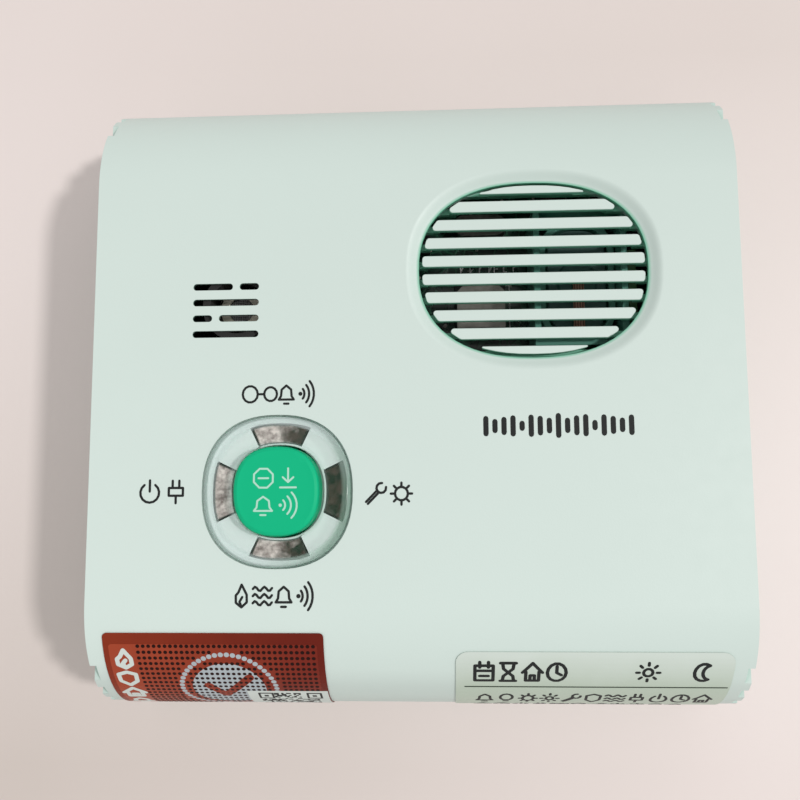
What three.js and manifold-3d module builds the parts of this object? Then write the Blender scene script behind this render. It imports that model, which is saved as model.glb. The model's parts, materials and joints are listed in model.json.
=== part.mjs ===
// Household carbon monoxide and gas alarm for a wall, lying on its back.
// Millimetres. The origin is the middle of the wall plate's back face. +Z comes out of the
// alarm's face, +Y is up when it hangs on a wall, and +X is to the right seen from the front.
import * as THREE from 'three';
import { ConvexGeometry } from 'three/addons/geometries/ConvexGeometry.js';
import { mergeVertices } from 'three/addons/utils/BufferGeometryUtils.js';
import Module from 'manifold-3d';

const wasm = await Module();
wasm.setup();

// ---------- driving dimensions ----------

// Housing: a box whose top and bottom edges roll over to the face.
const WIDTH = 120;
const HEIGHT = 120.4;
const FACE_Z = 36;
const ROLL_R = 21;
const WALL = 2.2;
const GAP = 0.3;
const HALF_W = WIDTH / 2;
const HALF_H = HEIGHT / 2;
const ROOF_Z = FACE_Z - WALL;
const ROLL_Y = HALF_H - ROLL_R;
const ROLL_Z = FACE_Z - ROLL_R;

// Rear case and wall plate.
const BACK_Z = 0.8;
const REAR_FLOOR_Z = 3.0;
const SEAM_Z = 7.0;
const TONGUE_TOP_Z = 9.5;
const PLATE = { halfX: 44, halfY: 36, thick: 2.4 };
const RECESS_Z = 3.3;
const RECESS_FLOOR_Z = 5.5;
const UNHOOK_TRAVEL = 8;
const HOOK_SPOTS = [[-38, 22], [38, 22], [-38, -20], [38, -20]];
const HOOK = { post: 3, headX: 8, headY: 4, headLow: 5.8, headHigh: 7.6 };
const WALL_SLOT = { spacing: 60, width: 3.8, length: 9 };

// Side louvres: grooves along both side walls, counted down from the face.
const LOUVRE = { first: 3.5, height: 2.4, pitch: 4.2, count: 5, depth: 1.2 };

// Oval grille in front of the speaker and the carbon monoxide sensor.
const OVAL = { x: 22.3, y: 21.7, halfX: 21.2, halfY: 16.6 };
const DISH = { width: 2.5, depth: 1.3, steps: 8 };
const SLATS = {
  count: 10,
  pitch: 3.45,
  width: 2.03,
  topZ: FACE_Z - 0.9,
  thick: 1.3,
  gap: 0.6,
  corner: 0.55,
  endCorner: 0.15,
  foot: { inset: 0.3, reach: 1.0, narrower: 0.8 },
};
const FLANGE = { low: FACE_Z - 5, inner: 0.6, outer: 2.6, armReach: 1, armDrop: 1 };

// Slotted port in front of the gas sensor, in a patch where the cover is thin.
// Each row is split by a short bar at that share of its width, or isn't split.
const PORT = { x: -35, y: 14.55, width: 12.4, slot: 1.25, pitch: 3.0, bar: 1.3, wall: 0.9 };
const PORT_PATCH = { x0: -43, x1: -25.8, y0: 6.9, y1: 22.9 };
const PORT_SPLITS = [0.655, null, 0.345, null];

// Indicator ring with the alarm stop button in its middle.
const RING = { x: -25, y: -19.1, halfX: 13.7, halfY: 13.8 };
const BUTTON = { x: -25, y: -19.1, halfX: 7.9, halfY: 8.15 };
const RING_FLOOR_Z = FACE_Z - 2.8;
const RING_TOP_Z = FACE_Z + 0.8;
const PLATFORM_Z = FACE_Z - 5.2;
const BUTTON_TOP_Z = FACE_Z + 1.3;
const BUTTON_TRAVEL = 0.9;
const BUTTON_DISH = 0.1;
const LIP = { grow: 1.2, thick: 1.2 };
const WINDOW_ANGLES = [Math.PI / 2, 0, -Math.PI / 2, Math.PI];
const WINDOW = { halfAngle: 25.8, inset: 1.15, margin: 0.75 };
const PAD = { halfAngle: 24.9, inset: 1.3, margin: 0.9 };
const LED = { reach: 10.6, radius: 1.0, collar: 1.2, height: 2.4 };

// Circuit boards.
const BOARD = { halfX: 54, halfY: 51, low: 11.0, high: 12.6, notch: 10 };
const PARTS_Z = BOARD.high + GAP;
const PANEL_BOARD = { low: 22.2, high: 23.8, half: 17.5 };
const PANEL_PARTS_Z = PANEL_BOARD.high + GAP;
const STANDOFFS = [[-44, 34], [44, 34], [-44, -36], [44, -36]];
const CASE_SCREWS = [[-50, 47], [50, 47], [-50, -47], [50, -47]];
const PANEL_SCREW_REACH = 13.4;
const PANEL_SCREWS = [-1, 1].map((side) => [
  RING.x + side * PANEL_SCREW_REACH,
  RING.y - side * PANEL_SCREW_REACH,
]);
const SWITCH = { size: 6.2, height: 3.5, well: 1.95, plunger: 1.65, low: 26.0, high: 29.0 };
const HEADER = { x: -20, y: -10, sizeX: 12, sizeY: 4, lowTop: 15.4, highBottom: 19.4 };

// Sensors.
const GAS_SENSOR = { x: -33.15, y: 15.55, radius: 4.6, low: 27, high: 31.5, hole: 2.4, holder: 6.6 };
const CO_SENSOR = { x: 13.3, y: 18.6, half: 4.85, low: 12.9, high: 20 };

// Speaker, held in a walled pocket behind the right part of the grille.
const POCKET = { x0: 22.9, x1: 40.6, y0: 8, y1: 35, low: 18, high: 30.7, wall: 1.2 };
const SPEAKER = {
  x: (POCKET.x0 + POCKET.x1) / 2,
  y: (POCKET.y0 + POCKET.y1) / 2,
  halfX: 7.3,
  halfY: 11.9,
  low: 22.3,
  high: 26.0,
};
const COIL_GAP = { inner: 3.3, outer: 4.7 };
const MAGNET = { radius: 6.8, low: 17.4, floor: 19 };
const COIL_LOW_Z = 20.4;
const SPEAKER_BOARD = { x0: 41.2, x1: 42.8, y0: 12, y1: 27, high: 28 };

// Power supply and logic on the main board.
const TRANSFORMER = {
  x: 30,
  y: -22,
  halfX: 16,
  halfY: 7,
  low: 13.2,
  high: 30.2,
  leg: 4.2,
  yoke: 4.6,
  overhang: 4,
};
const ELECTROLYTIC = { radius: 5, height: 16, spots: [[-2, -44], [9.5, -44]] };
const FILM_CAPACITOR = { x: -38, y: -45.7, sizeX: 16, sizeY: 6.5, height: 11 };
const FUSE = { x: -28, y: -37.5, radius: 2.6, length: 20 };
const VARISTOR = { x: 22, y: -46, radius: 5, thick: 4 };
const TERMINALS = { x: -20, y: -46.5, sizeX: 15, sizeY: 9, height: 10, spacing: 7, well: 1.9 };
const CHOKE = { x: 34, y: 43, reach: 5.2, thick: 2.6 };
const RELAY = { x0: -36, y0: 34.5, x1: -16, y1: 49.5, height: 14 };
const CONTROLLER = { x: -2, y: 36, size: 10, height: 1.4 };
const CRYSTAL = { x0: 8, y0: 34, x1: 19, y1: 38.5, height: 3.6 };

// Cord inlet in the bottom wall.
const INLET = { x: -20, z: 13.9, radius: 3.0 };

// Labels on the bottom roll, from an angle below the face, and one on the back.
const SKIN = { low: 0.08, high: 0.28 };
const ROLL_LABEL_END = 82;
const CERTIFICATION = { x0: -56.8, x1: -16.3, from: 13.5, corner: 1.2 };
const DATE = { x0: 7.1, x1: 57.2, from: 22.7, corner: 2.2 };
const RATING = { x0: -34, y0: -58, x1: 14, y1: -49, corner: 1.5 };

const OUTLINE_STEPS = 64;
const ROLL_STEPS = 14;
const CORNER_STEPS = 3;
const SQUIRCLE = 2.35;

// ---------- solids ----------

// A closed three.js geometry as a solid that can be joined and cut.
function solid(geometry) {
  const bare = geometry.clone();
  bare.deleteAttribute('normal');
  bare.deleteAttribute('uv');
  const merged = mergeVertices(bare, 1e-4);
  const corners = merged.index.array;
  const kept = [];
  for (let i = 0; i < corners.length; i += 3) {
    const [a, b, c] = corners.slice(i, i + 3);
    if (a !== b && b !== c && c !== a) {
      kept.push(a, b, c);
    }
  }
  const vertProperties = new Float32Array(merged.attributes.position.array);
  const triVerts = new Uint32Array(kept);
  return new wasm.Manifold(new wasm.Mesh({ numProp: 3, vertProperties, triVerts }));
}

// A solid back as a geometry that a mesh can show.
function geometryOf(body) {
  const mesh = body.getMesh();
  const geometry = new THREE.BufferGeometry();
  geometry.setAttribute('position', new THREE.BufferAttribute(mesh.vertProperties, 3));
  geometry.setIndex(new THREE.BufferAttribute(mesh.triVerts, 1));
  geometry.computeVertexNormals();
  return geometry;
}

function joined(bodies) {
  return bodies.reduce((whole, body) => whole.add(body));
}

function cut(body, tools) {
  return tools.reduce((left, tool) => left.subtract(tool), body);
}

// A block from its low corner to its high corner.
function block(low, high) {
  const size = high.map((value, i) => value - low[i]);
  const geometry = new THREE.BoxGeometry(...size);
  geometry.translate(...low.map((value, i) => value + size[i] / 2));
  return solid(geometry);
}

// A block centred on x and y.
function brick(x, y, sizeX, sizeY, z0, z1) {
  return block([x - sizeX / 2, y - sizeY / 2, z0], [x + sizeX / 2, y + sizeY / 2, z1]);
}

// An upright round bar.
function post(x, y, radius, z0, z1, sides = 20) {
  const geometry = new THREE.CylinderGeometry(radius, radius, z1 - z0, sides);
  geometry.rotateX(Math.PI / 2);
  geometry.translate(x, y, (z0 + z1) / 2);
  return solid(geometry);
}

// A round piece about an upright axis: rows of [radius, height] from bottom to top.
function turned(x, y, rows, sides = 28) {
  const geometry = new THREE.LatheGeometry(rows.map((row) => new THREE.Vector2(...row)), sides);
  geometry.rotateX(Math.PI / 2);
  geometry.translate(x, y, 0);
  return solid(geometry);
}

// An outline in X and Y, raised from z0 to z1.
function slab(outline, z0, z1) {
  const geometry = new THREE.ExtrudeGeometry(outline, {
    depth: z1 - z0,
    bevelEnabled: false,
    curveSegments: CORNER_STEPS,
  });
  geometry.translate(0, 0, z0);
  return solid(geometry);
}

// An outline in Y and Z, drawn out from x0 to x1.
function alongX(outline, x0, x1) {
  const geometry = new THREE.ExtrudeGeometry(outline, {
    depth: x1 - x0,
    bevelEnabled: false,
    curveSegments: ROLL_STEPS,
  });
  const [x, y, z] = [[1, 0, 0], [0, 1, 0], [0, 0, 1]].map((axis) => new THREE.Vector3(...axis));
  geometry.applyMatrix4(new THREE.Matrix4().makeBasis(y, z, x));
  geometry.translate(x0, 0, 0);
  return solid(geometry);
}

// ---------- outlines ----------

// A point of a squircle, which is an ellipse with fuller corners.
function squirclePoint(oval, angle, grow = 0) {
  const bulge = (value) => Math.sign(value) * Math.abs(value) ** (2 / SQUIRCLE);
  return new THREE.Vector2(
    oval.x + (oval.halfX + grow) * bulge(Math.cos(angle)),
    oval.y + (oval.halfY + grow) * bulge(Math.sin(angle)),
  );
}

function squircle(oval, grow = 0) {
  const points = [];
  for (let i = 0; i < OUTLINE_STEPS; i += 1) {
    points.push(squirclePoint(oval, (2 * Math.PI * i) / OUTLINE_STEPS, grow));
  }
  return new THREE.Shape(points);
}

// A solid with squircle sections: rows of [growth of the outline, height] from bottom to top.
function flared(oval, rows) {
  const profile = rows.map(([grow, z]) => new THREE.Vector2(oval.halfX + grow, z));
  profile.unshift(new THREE.Vector2(0, rows[0][1]));
  profile.push(new THREE.Vector2(0, rows.at(-1)[1]));
  const geometry = new THREE.LatheGeometry(profile, OUTLINE_STEPS);
  geometry.rotateX(Math.PI / 2);
  const spots = geometry.attributes.position;
  for (let i = 0; i < spots.count; i += 1) {
    const radius = Math.hypot(spots.getX(i), spots.getY(i));
    const onAxis = radius < 0.001;
    const angle = Math.atan2(spots.getY(i), spots.getX(i));
    const spot = onAxis ? oval : squirclePoint(oval, angle, radius - oval.halfX);
    spots.setXY(i, spot.x, spot.y);
  }
  return solid(geometry);
}

function roundedRectangle(x0, y0, x1, y1, radius) {
  const shape = new THREE.Shape();
  shape.absarc(x1 - radius, y0 + radius, radius, -Math.PI / 2, 0);
  shape.absarc(x1 - radius, y1 - radius, radius, 0, Math.PI / 2);
  shape.absarc(x0 + radius, y1 - radius, radius, Math.PI / 2, Math.PI);
  shape.absarc(x0 + radius, y0 + radius, radius, Math.PI, 1.5 * Math.PI);
  return shape;
}

// The housing's outline in Y and Z: straight sides, and a quarter roll at both ends of the face.
function sideOutline(inset, bottom) {
  const radius = ROLL_R - inset;
  const shape = new THREE.Shape();
  shape.moveTo(-HALF_H + inset, bottom);
  shape.lineTo(HALF_H - inset, bottom);
  shape.absarc(ROLL_Y, ROLL_Z, radius, 0, Math.PI / 2);
  shape.absarc(-ROLL_Y, ROLL_Z, radius, Math.PI / 2, Math.PI);
  return shape;
}

// ---------- front of the housing ----------

function coverShell() {
  const outside = alongX(sideOutline(0, SEAM_Z), -HALF_W, HALF_W);
  const inside = alongX(sideOutline(WALL, SEAM_Z - 1), -HALF_W + WALL, HALF_W - WALL);
  return outside.subtract(inside);
}

function screwBosses() {
  const corner = CASE_SCREWS.map(([x, y]) => post(x, y, 3.8, TONGUE_TOP_Z + GAP, 31.5));
  const panel = PANEL_SCREWS.map(([x, y]) => post(x, y, 2.6, PANEL_BOARD.high + GAP, ROOF_Z + 1));
  return [...corner, ...panel];
}

function bossHoles() {
  const corner = CASE_SCREWS.map(([x, y]) => post(x, y, 1.75, TONGUE_TOP_Z, 24));
  const panel = PANEL_SCREWS.map(([x, y]) => post(x, y, 1.3, PANEL_BOARD.high, 31));
  return [...corner, ...panel];
}

function louvreCuts() {
  const cuts = [];
  for (let i = 0; i < LOUVRE.count; i += 1) {
    const top = FACE_Z - LOUVRE.first - i * LOUVRE.pitch;
    for (const side of [-1, 1]) {
      const x = side * (HALF_W + 1 - LOUVRE.depth / 2);
      cuts.push(brick(x, 0, LOUVRE.depth + 2, HEIGHT + 2, top - LOUVRE.height, top));
    }
  }
  return cuts;
}

// The grille hole, with the face dipping softly towards it.
function ovalCut() {
  const rim = FACE_Z - DISH.depth;
  const rows = [[0, FACE_Z - 8]];
  for (let i = 0; i <= DISH.steps; i += 1) {
    const part = i / DISH.steps;
    rows.push([DISH.width * part, rim + (DISH.depth * (1 - Math.cos(Math.PI * part))) / 2]);
  }
  rows.push([DISH.width, FACE_Z + 2]);
  return flared(OVAL, rows);
}

function slotCut(x0, x1, y) {
  const half = PORT.slot / 2;
  const outline = roundedRectangle(x0, y - half, x1, y + half, half * 0.98);
  return slab(outline, ROOF_Z - 1, FACE_Z + 1);
}

// Four rows of slots: two whole rows, and two rows that a short bar splits.
function portCuts() {
  const left = PORT.x - PORT.width / 2;
  const right = PORT.x + PORT.width / 2;
  const cuts = [];
  PORT_SPLITS.forEach((split, row) => {
    const y = PORT.y + (1.5 - row) * PORT.pitch;
    if (split === null) {
      cuts.push(slotCut(left, right, y));
    } else {
      const middle = left + split * PORT.width;
      cuts.push(slotCut(left, middle - PORT.bar / 2, y));
      cuts.push(slotCut(middle + PORT.bar / 2, right, y));
    }
  });
  return cuts;
}

function portPatchCut() {
  const { x0, x1, y0, y1 } = PORT_PATCH;
  return block([x0, y0, ROOF_Z - 1], [x1, y1, FACE_Z - PORT.wall]);
}

// A wedge that looks out of the ring's middle.
function wedge(angle, halfAngle) {
  const reach = 2 * RING.halfX;
  const half = THREE.MathUtils.degToRad(halfAngle);
  const shape = new THREE.Shape();
  shape.moveTo(RING.x, RING.y);
  for (const turn of [-half, half]) {
    shape.lineTo(RING.x + reach * Math.cos(angle + turn), RING.y + reach * Math.sin(angle + turn));
  }
  return shape;
}

// The ring's four windows: a band between the ring and the button, cut into wedges.
function windows(z0, z1, { halfAngle, inset, margin } = WINDOW) {
  const outer = slab(squircle(RING, -inset), z0, z1);
  const band = outer.subtract(slab(squircle(BUTTON, margin), z0 - 1, z1 + 1));
  return WINDOW_ANGLES.map((angle) => band.intersect(slab(wedge(angle, halfAngle), z0 - 1, z1 + 1)));
}

function inletCut(radius, y0, y1) {
  const geometry = new THREE.CylinderGeometry(radius, radius, y1 - y0, 24);
  geometry.translate(INLET.x, (y0 + y1) / 2, INLET.z);
  return solid(geometry);
}

function frontCover() {
  const platform = slab(squircle(RING, 2.2), PLATFORM_Z, FACE_Z - 1);
  const body = joined([coverShell(), platform, ...screwBosses()]);
  return cut(body, [
    ...bossHoles(),
    ...louvreCuts(),
    ovalCut(),
    ...portCuts(),
    portPatchCut(),
    slab(squircle(RING, 0.15), RING_FLOOR_Z, FACE_Z + 2),
    slab(squircle(BUTTON, 0.4), PLATFORM_Z - 1, FACE_Z),
    ...windows(PLATFORM_Z - 1, RING_FLOOR_Z + 1),
    inletCut(INLET.radius, -HALF_H - 1, -HALF_H + WALL + 1),
  ]);
}

// The part of the oval between two heights, with round corners: the convex wrap of a small
// circle carried along the same part of a smaller oval.
function ovalBand(y0, y1, corner) {
  const { topZ, thick, gap } = SLATS;
  const inner = squircle(OVAL, -gap - corner).getPoints();
  const [low, high] = [y0 + corner, y1 - corner];
  const points = [];
  inner.forEach((start, i) => {
    const end = inner[(i + 1) % inner.length];
    const crossings = [low, high].map((level) => (level - start.y) / (end.y - start.y));
    const shares = crossings.filter((share) => share > 0 && share < 1);
    const spots = shares.map((share) => start.clone().lerp(end, share));
    if (start.y >= low && start.y <= high) {
      spots.push(start);
    }
    for (const spot of spots) {
      for (let step = 0; step < 12; step += 1) {
        const turn = (step * Math.PI) / 6;
        const [x, y] = [spot.x + corner * Math.cos(turn), spot.y + corner * Math.sin(turn)];
        points.push(new THREE.Vector3(x, y, topZ - thick), new THREE.Vector3(x, y, topZ));
      }
    }
  });
  return solid(new ConvexGeometry(points));
}

// A flange hidden behind the cover, and slats that stand on arms that reach in from it.
function grilleInsert() {
  const { count, pitch, width, topZ, thick, gap, corner, endCorner, foot } = SLATS;
  const [low, high] = [FLANGE.low, ROOF_Z - GAP];
  const outer = slab(squircle(OVAL, FLANGE.outer), low, high);
  const flange = outer.subtract(slab(squircle(OVAL, FLANGE.inner), 0, FACE_Z));
  const arms = slab(squircle(OVAL, FLANGE.armReach), low, high - FLANGE.armDrop);
  const feet = slab(squircle(OVAL, -gap - foot.inset), low, topZ - thick / 2);
  const hole = slab(squircle(OVAL, -gap - foot.reach), 0, FACE_Z);
  const supports = arms.add(feet).subtract(hole);
  const slats = [];
  for (let i = 0; i < count; i += 1) {
    const y = OVAL.y + (i - (count - 1) / 2) * pitch;
    const atEnd = i === 0 || i === count - 1;
    slats.push(ovalBand(y - width / 2, y + width / 2, atEnd ? endCorner : corner));
    const strip = brick(OVAL.x, y, 3 * OVAL.halfX, width - foot.narrower, low, topZ);
    slats.push(supports.intersect(strip));
  }
  return joined([flange, ...slats]);
}

function indicatorRing() {
  const edge = RING_TOP_Z - 0.9;
  const outside = flared(RING, [
    [-0.15, RING_FLOOR_Z + GAP],
    [-0.15, edge],
    [-0.3, edge + 0.45],
    [-0.65, edge + 0.75],
    [-1.1, RING_TOP_Z],
  ]);
  const inside = flared(BUTTON, [
    [0.35, RING_FLOOR_Z - 1],
    [0.35, RING_TOP_Z - 0.9],
    [1.5, RING_TOP_Z + 0.2],
    [1.5, RING_TOP_Z + 1],
  ]);
  return outside.subtract(inside);
}

function buttonCap() {
  const lip = PLATFORM_Z - GAP;
  const body = flared(BUTTON, [
    [LIP.grow, lip - LIP.thick],
    [LIP.grow, lip],
    [0, lip + 0.1],
    [0, BUTTON_TOP_Z - 0.8],
    [-0.25, BUTTON_TOP_Z - 0.3],
    [-0.8, BUTTON_TOP_Z],
    [-2.0, BUTTON_TOP_Z - BUTTON_DISH],
  ]);
  const hollow = slab(squircle(BUTTON, -1.4), lip - 2, BUTTON_TOP_Z - 2.2);
  const stem = post(BUTTON.x, BUTTON.y, 2, lip - LIP.thick, BUTTON_TOP_Z - 1);
  return body.subtract(hollow).add(stem);
}

// A smoky plate behind the cover, whose four pads fill the windows. The button's lip has room.
function indicatorLens() {
  const [low, high] = [PLATFORM_Z - GAP - LIP.thick, PLATFORM_Z - GAP];
  const plate = slab(squircle(RING, -0.3), low, high);
  const pads = windows(high - 0.5, RING_FLOOR_Z - 0.1, PAD);
  return joined([plate, ...pads]).subtract(slab(squircle(BUTTON, 1.6), low - 1, PLATFORM_Z + 0.1));
}

// Keeps the light of each lamp to its own window.
function lightShield() {
  const [low, high] = [PANEL_PARTS_Z, PLATFORM_Z - GAP - LIP.thick - BUTTON_TRAVEL - GAP];
  const body = slab(squircle(RING, -0.9), low, high);
  const hole = slab(squircle(BUTTON, -0.6), low - 1, high + 1);
  return cut(body.subtract(hole), windows(low - 1, high + 1));
}

function led(angle) {
  const { reach, radius, collar, height } = LED;
  const x = RING.x + reach * Math.cos(angle);
  const y = RING.y + reach * Math.sin(angle);
  const low = PANEL_PARTS_Z;
  const rows = [[0, low], [collar, low], [collar, low + 0.6], [radius, low + 0.6]];
  for (let i = 0; i <= 4; i += 1) {
    const turn = (i / 4) * (Math.PI / 2);
    rows.push([radius * Math.cos(turn), low + height + radius * Math.sin(turn)]);
  }
  rows[rows.length - 1][0] = 0;
  return turned(x, y, rows, 16);
}

// ---------- back of the housing ----------

function rearCase() {
  const x1 = HALF_W - WALL - GAP;
  const y1 = HALF_H - WALL - GAP;
  const tray = brick(0, 0, WIDTH, HEIGHT, BACK_Z, SEAM_Z - GAP);
  const tongue = brick(0, 0, 2 * x1, 2 * y1, SEAM_Z - 1, TONGUE_TOP_Z);
  const hollow = brick(0, 0, 2 * x1 - 3.2, 2 * y1 - 3.2, REAR_FLOOR_Z, TONGUE_TOP_Z + 1);
  const shell = tray.add(tongue).subtract(hollow);
  const recess = {
    x: PLATE.halfX + 2,
    y0: -PLATE.halfY - UNHOOK_TRAVEL - 1.5,
    y1: PLATE.halfY + 1.5,
  };
  const plateau = block(
    [-recess.x - WALL, recess.y0 - WALL, BACK_Z],
    [recess.x + WALL, recess.y1 + WALL, RECESS_FLOOR_Z],
  );
  const pocket = block([-recess.x, recess.y0, BACK_Z - 1], [recess.x, recess.y1, RECESS_Z]);
  const standoffs = STANDOFFS.map(([x, y]) => post(x, y, 3, REAR_FLOOR_Z, BOARD.low - GAP));
  const bosses = CASE_SCREWS.map(([x, y]) => post(x, y, 4.2, BACK_Z, TONGUE_TOP_Z - 0.2));
  return cut(joined([shell, plateau, ...standoffs, ...bosses]), [
    pocket,
    ...STANDOFFS.map(([x, y]) => post(x, y, 1.5, 6.2, BOARD.low + 1)),
    ...CASE_SCREWS.map(([x, y]) => post(x, y, 1.75, 0, TONGUE_TOP_Z + 1)),
    ...CASE_SCREWS.map(([x, y]) => post(x, y, 3.3, 0, 4.4)),
    ...HOOK_SPOTS.map(([x, y]) => hookSlot(x, y)),
  ]);
}

// The keyhole in the rear case that a hook of the wall plate enters and slides along.
function hookSlot(x, y) {
  const [z0, z1] = [RECESS_Z - 1, RECESS_FLOOR_Z + 1];
  const far = y - UNHOOK_TRAVEL;
  const half = HOOK.post / 2 + GAP;
  const narrow = block([x - half, far, z0], [x + half, y + half, z1]);
  return narrow.add(brick(x, far, HOOK.headX + 0.8, HOOK.headY + 0.8, z0, z1));
}

function mountingPlate() {
  const outline = roundedRectangle(-PLATE.halfX, -PLATE.halfY, PLATE.halfX, PLATE.halfY, 4);
  const sheet = slab(outline, 0, PLATE.thick);
  const hooks = HOOK_SPOTS.map(([x, y]) => {
    const stem = brick(x, y, HOOK.post, HOOK.post, PLATE.thick - 0.5, HOOK.headHigh);
    return stem.add(brick(x, y, HOOK.headX, HOOK.headY - 1, HOOK.headLow, HOOK.headHigh));
  });
  const slots = [-1, 1].map((side) => {
    const x = (side * WALL_SLOT.spacing) / 2;
    const [w, l] = [WALL_SLOT.width / 2, WALL_SLOT.length / 2];
    return slab(roundedRectangle(x - w, -l, x + w, l, w * 0.98), -1, PLATE.thick + 1);
  });
  return cut(joined([sheet, ...hooks]), slots);
}

// A pan head screw that points up; its head is at the bottom.
function caseScrew([x, y]) {
  const head = [[0, 1.5], [2.4, 1.5], [2.8, 1.9], [2.8, 4.0]];
  const shank = [[1.45, 4.0], [1.45, 19.5], [0, 21]];
  return turned(x, y, [...head, ...shank], 16).subtract(crossRecess(x, y, 1, 2.4));
}

// A pan head screw that points down; its head is at the top.
function boardScrew([x, y]) {
  const seat = PARTS_Z;
  const top = seat + 1.7;
  const shank = [[0, 6.6], [1.2, 7.6], [1.2, seat]];
  const head = [[2.6, seat], [2.6, top - 0.4], [2.2, top], [0, top]];
  return turned(x, y, [...shank, ...head], 16).subtract(crossRecess(x, y, top - 0.8, top + 1));
}

function panelScrew([x, y]) {
  const low = PANEL_BOARD.low - GAP - 1.5;
  const rows = [[0, low], [2.0, low], [2.0, low + 1.5], [1.0, low + 1.5], [1.0, 29.2], [0, 30.2]];
  return turned(x, y, rows, 16).subtract(crossRecess(x, y, low - 1, low + 0.7));
}

function crossRecess(x, y, z0, z1) {
  return brick(x, y, 2.6, 0.7, z0, z1).add(brick(x, y, 0.7, 2.6, z0, z1));
}

// A blind rubber membrane: a neck in the wall and a flange behind it.
function cordGrommet() {
  const neck = inletCut(INLET.radius - GAP, -HALF_H + 0.2, -HALF_H + WALL + 1);
  const flange = inletCut(INLET.radius + 1.0, -HALF_H + WALL + GAP, -HALF_H + WALL + 1.8);
  const dimple = inletCut(INLET.radius - 1.2, -HALF_H - 1, -HALF_H + 1.4);
  return neck.add(flange).subtract(dimple);
}

// ---------- labels ----------

// A thin skin on the bottom roll between two angles from the face, with round top corners.
function rollLabel({ x0, x1, from, corner }) {
  const [inner, outer] = [ROLL_R + SKIN.low, ROLL_R + SKIN.high];
  const start = Math.PI / 2 + THREE.MathUtils.degToRad(from);
  const end = Math.PI / 2 + THREE.MathUtils.degToRad(ROLL_LABEL_END);
  const shape = new THREE.Shape();
  shape.absarc(-ROLL_Y, ROLL_Z, outer, start, end);
  shape.absarc(-ROLL_Y, ROLL_Z, inner, end, start, true);
  const top = -ROLL_Y + outer * Math.cos(start);
  const mask = roundedRectangle(x0, -HALF_H - 2 * corner, x1, top, corner);
  return alongX(shape, x0, x1).intersect(slab(mask, 0, FACE_Z));
}

function ratingLabel() {
  const { x0, y0, x1, y1, corner } = RATING;
  return slab(roundedRectangle(x0, y0, x1, y1, corner), BACK_Z - SKIN.high, BACK_Z - SKIN.low);
}

// ---------- electronics ----------

function mainBoard() {
  const { halfX, halfY, low, high, notch } = BOARD;
  const sheet = brick(0, 0, 2 * halfX, 2 * halfY, low, high);
  const notches = CASE_SCREWS.map(([x, y]) => {
    const [cx, cy] = [Math.sign(x) * halfX, Math.sign(y) * halfY];
    return brick(cx, cy, 2 * notch, 2 * notch, low - 1, high + 1);
  });
  const holes = STANDOFFS.map(([x, y]) => post(x, y, 1.6, low - 1, high + 1));
  return cut(sheet, [...notches, ...holes]);
}

function panelBoard() {
  const { low, high, half } = PANEL_BOARD;
  const outline = roundedRectangle(RING.x - half, RING.y - half, RING.x + half, RING.y + half, 3);
  const holes = PANEL_SCREWS.map(([x, y]) => post(x, y, 1.3, low - 1, high + 1));
  return cut(slab(outline, low, high), holes);
}

function switchBody() {
  const { size, height, well } = SWITCH;
  const [low, high] = [PANEL_PARTS_Z, PANEL_PARTS_Z + height];
  const body = brick(BUTTON.x, BUTTON.y, size, size, low, high);
  return body.subtract(post(BUTTON.x, BUTTON.y, well, low + 0.8, high + 1));
}

function switchPlunger() {
  return post(BUTTON.x, BUTTON.y, SWITCH.plunger, SWITCH.low, SWITCH.high);
}

function header(z0, z1) {
  return brick(HEADER.x, HEADER.y, HEADER.sizeX, HEADER.sizeY, z0, z1);
}

// A wire strip with an S bend, between a header on each board.
function ribbonCable() {
  const [z0, z1] = [HEADER.lowTop + GAP, HEADER.highBottom - GAP];
  const { x, y, sizeX } = HEADER;
  const halfX = sizeX / 2 - 1;
  const shape = new THREE.Shape();
  shape.moveTo(y - 1.4, z0);
  shape.lineTo(y - 0.6, z0);
  shape.bezierCurveTo(y - 0.6, z0 + 1.8, y + 1.4, z1 - 1.8, y + 1.4, z1);
  shape.lineTo(y + 0.6, z1);
  shape.bezierCurveTo(y + 0.6, z1 - 1.4, y - 1.4, z0 + 1.4, y - 1.4, z0);
  return alongX(shape, x - halfX, x + halfX);
}

function gasSensorBase() {
  const { x, y, radius, low } = GAS_SENSOR;
  const side = [[radius, low], [radius, low + 0.6], [radius - 0.6, low + 1.3]];
  return turned(x, y, [[0, low], ...side, [0, low + 1.3]]);
}

// The metal cap of the gas sensor, open at the bottom, with a round mouth on top.
function gasSensorCap() {
  const { x, y, radius, low, high, hole } = GAS_SENSOR;
  const foot = low + 1.3 + GAP;
  const outside = [[radius, foot], [radius, high - 0.6], [radius - 0.6, high], [hole, high]];
  const ceiling = [[hole, high - 0.5], [radius - 0.7, high - 0.5]];
  const inside = [[radius - 0.5, high - 0.9], [radius - 0.5, foot]];
  return turned(x, y, [...outside, ...ceiling, ...inside, [radius, foot]]);
}

function gasSensorMesh() {
  const { x, y, high } = GAS_SENSOR;
  return post(x, y, 3.3, high - 1.1, high - 0.8, 24);
}

function gasSensorHolder() {
  const { x, y, low, holder } = GAS_SENSOR;
  const tower = post(x, y, holder, PARTS_Z, low - GAP);
  return tower.subtract(post(x, y, holder - 1.4, BOARD.high, low - 2));
}

function gasSensorCollar() {
  const { x, y, radius, low, holder } = GAS_SENSOR;
  const ring = post(x, y, holder, low, FACE_Z - PORT.wall - GAP, 32);
  return ring.subtract(post(x, y, radius + 0.5, low - 1, FACE_Z, 32));
}

function coSensorBase() {
  const { x, y, half, low } = CO_SENSOR;
  return brick(x, y, 2 * half + 1, 2 * half + 1, low, low + 1.2);
}

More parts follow.
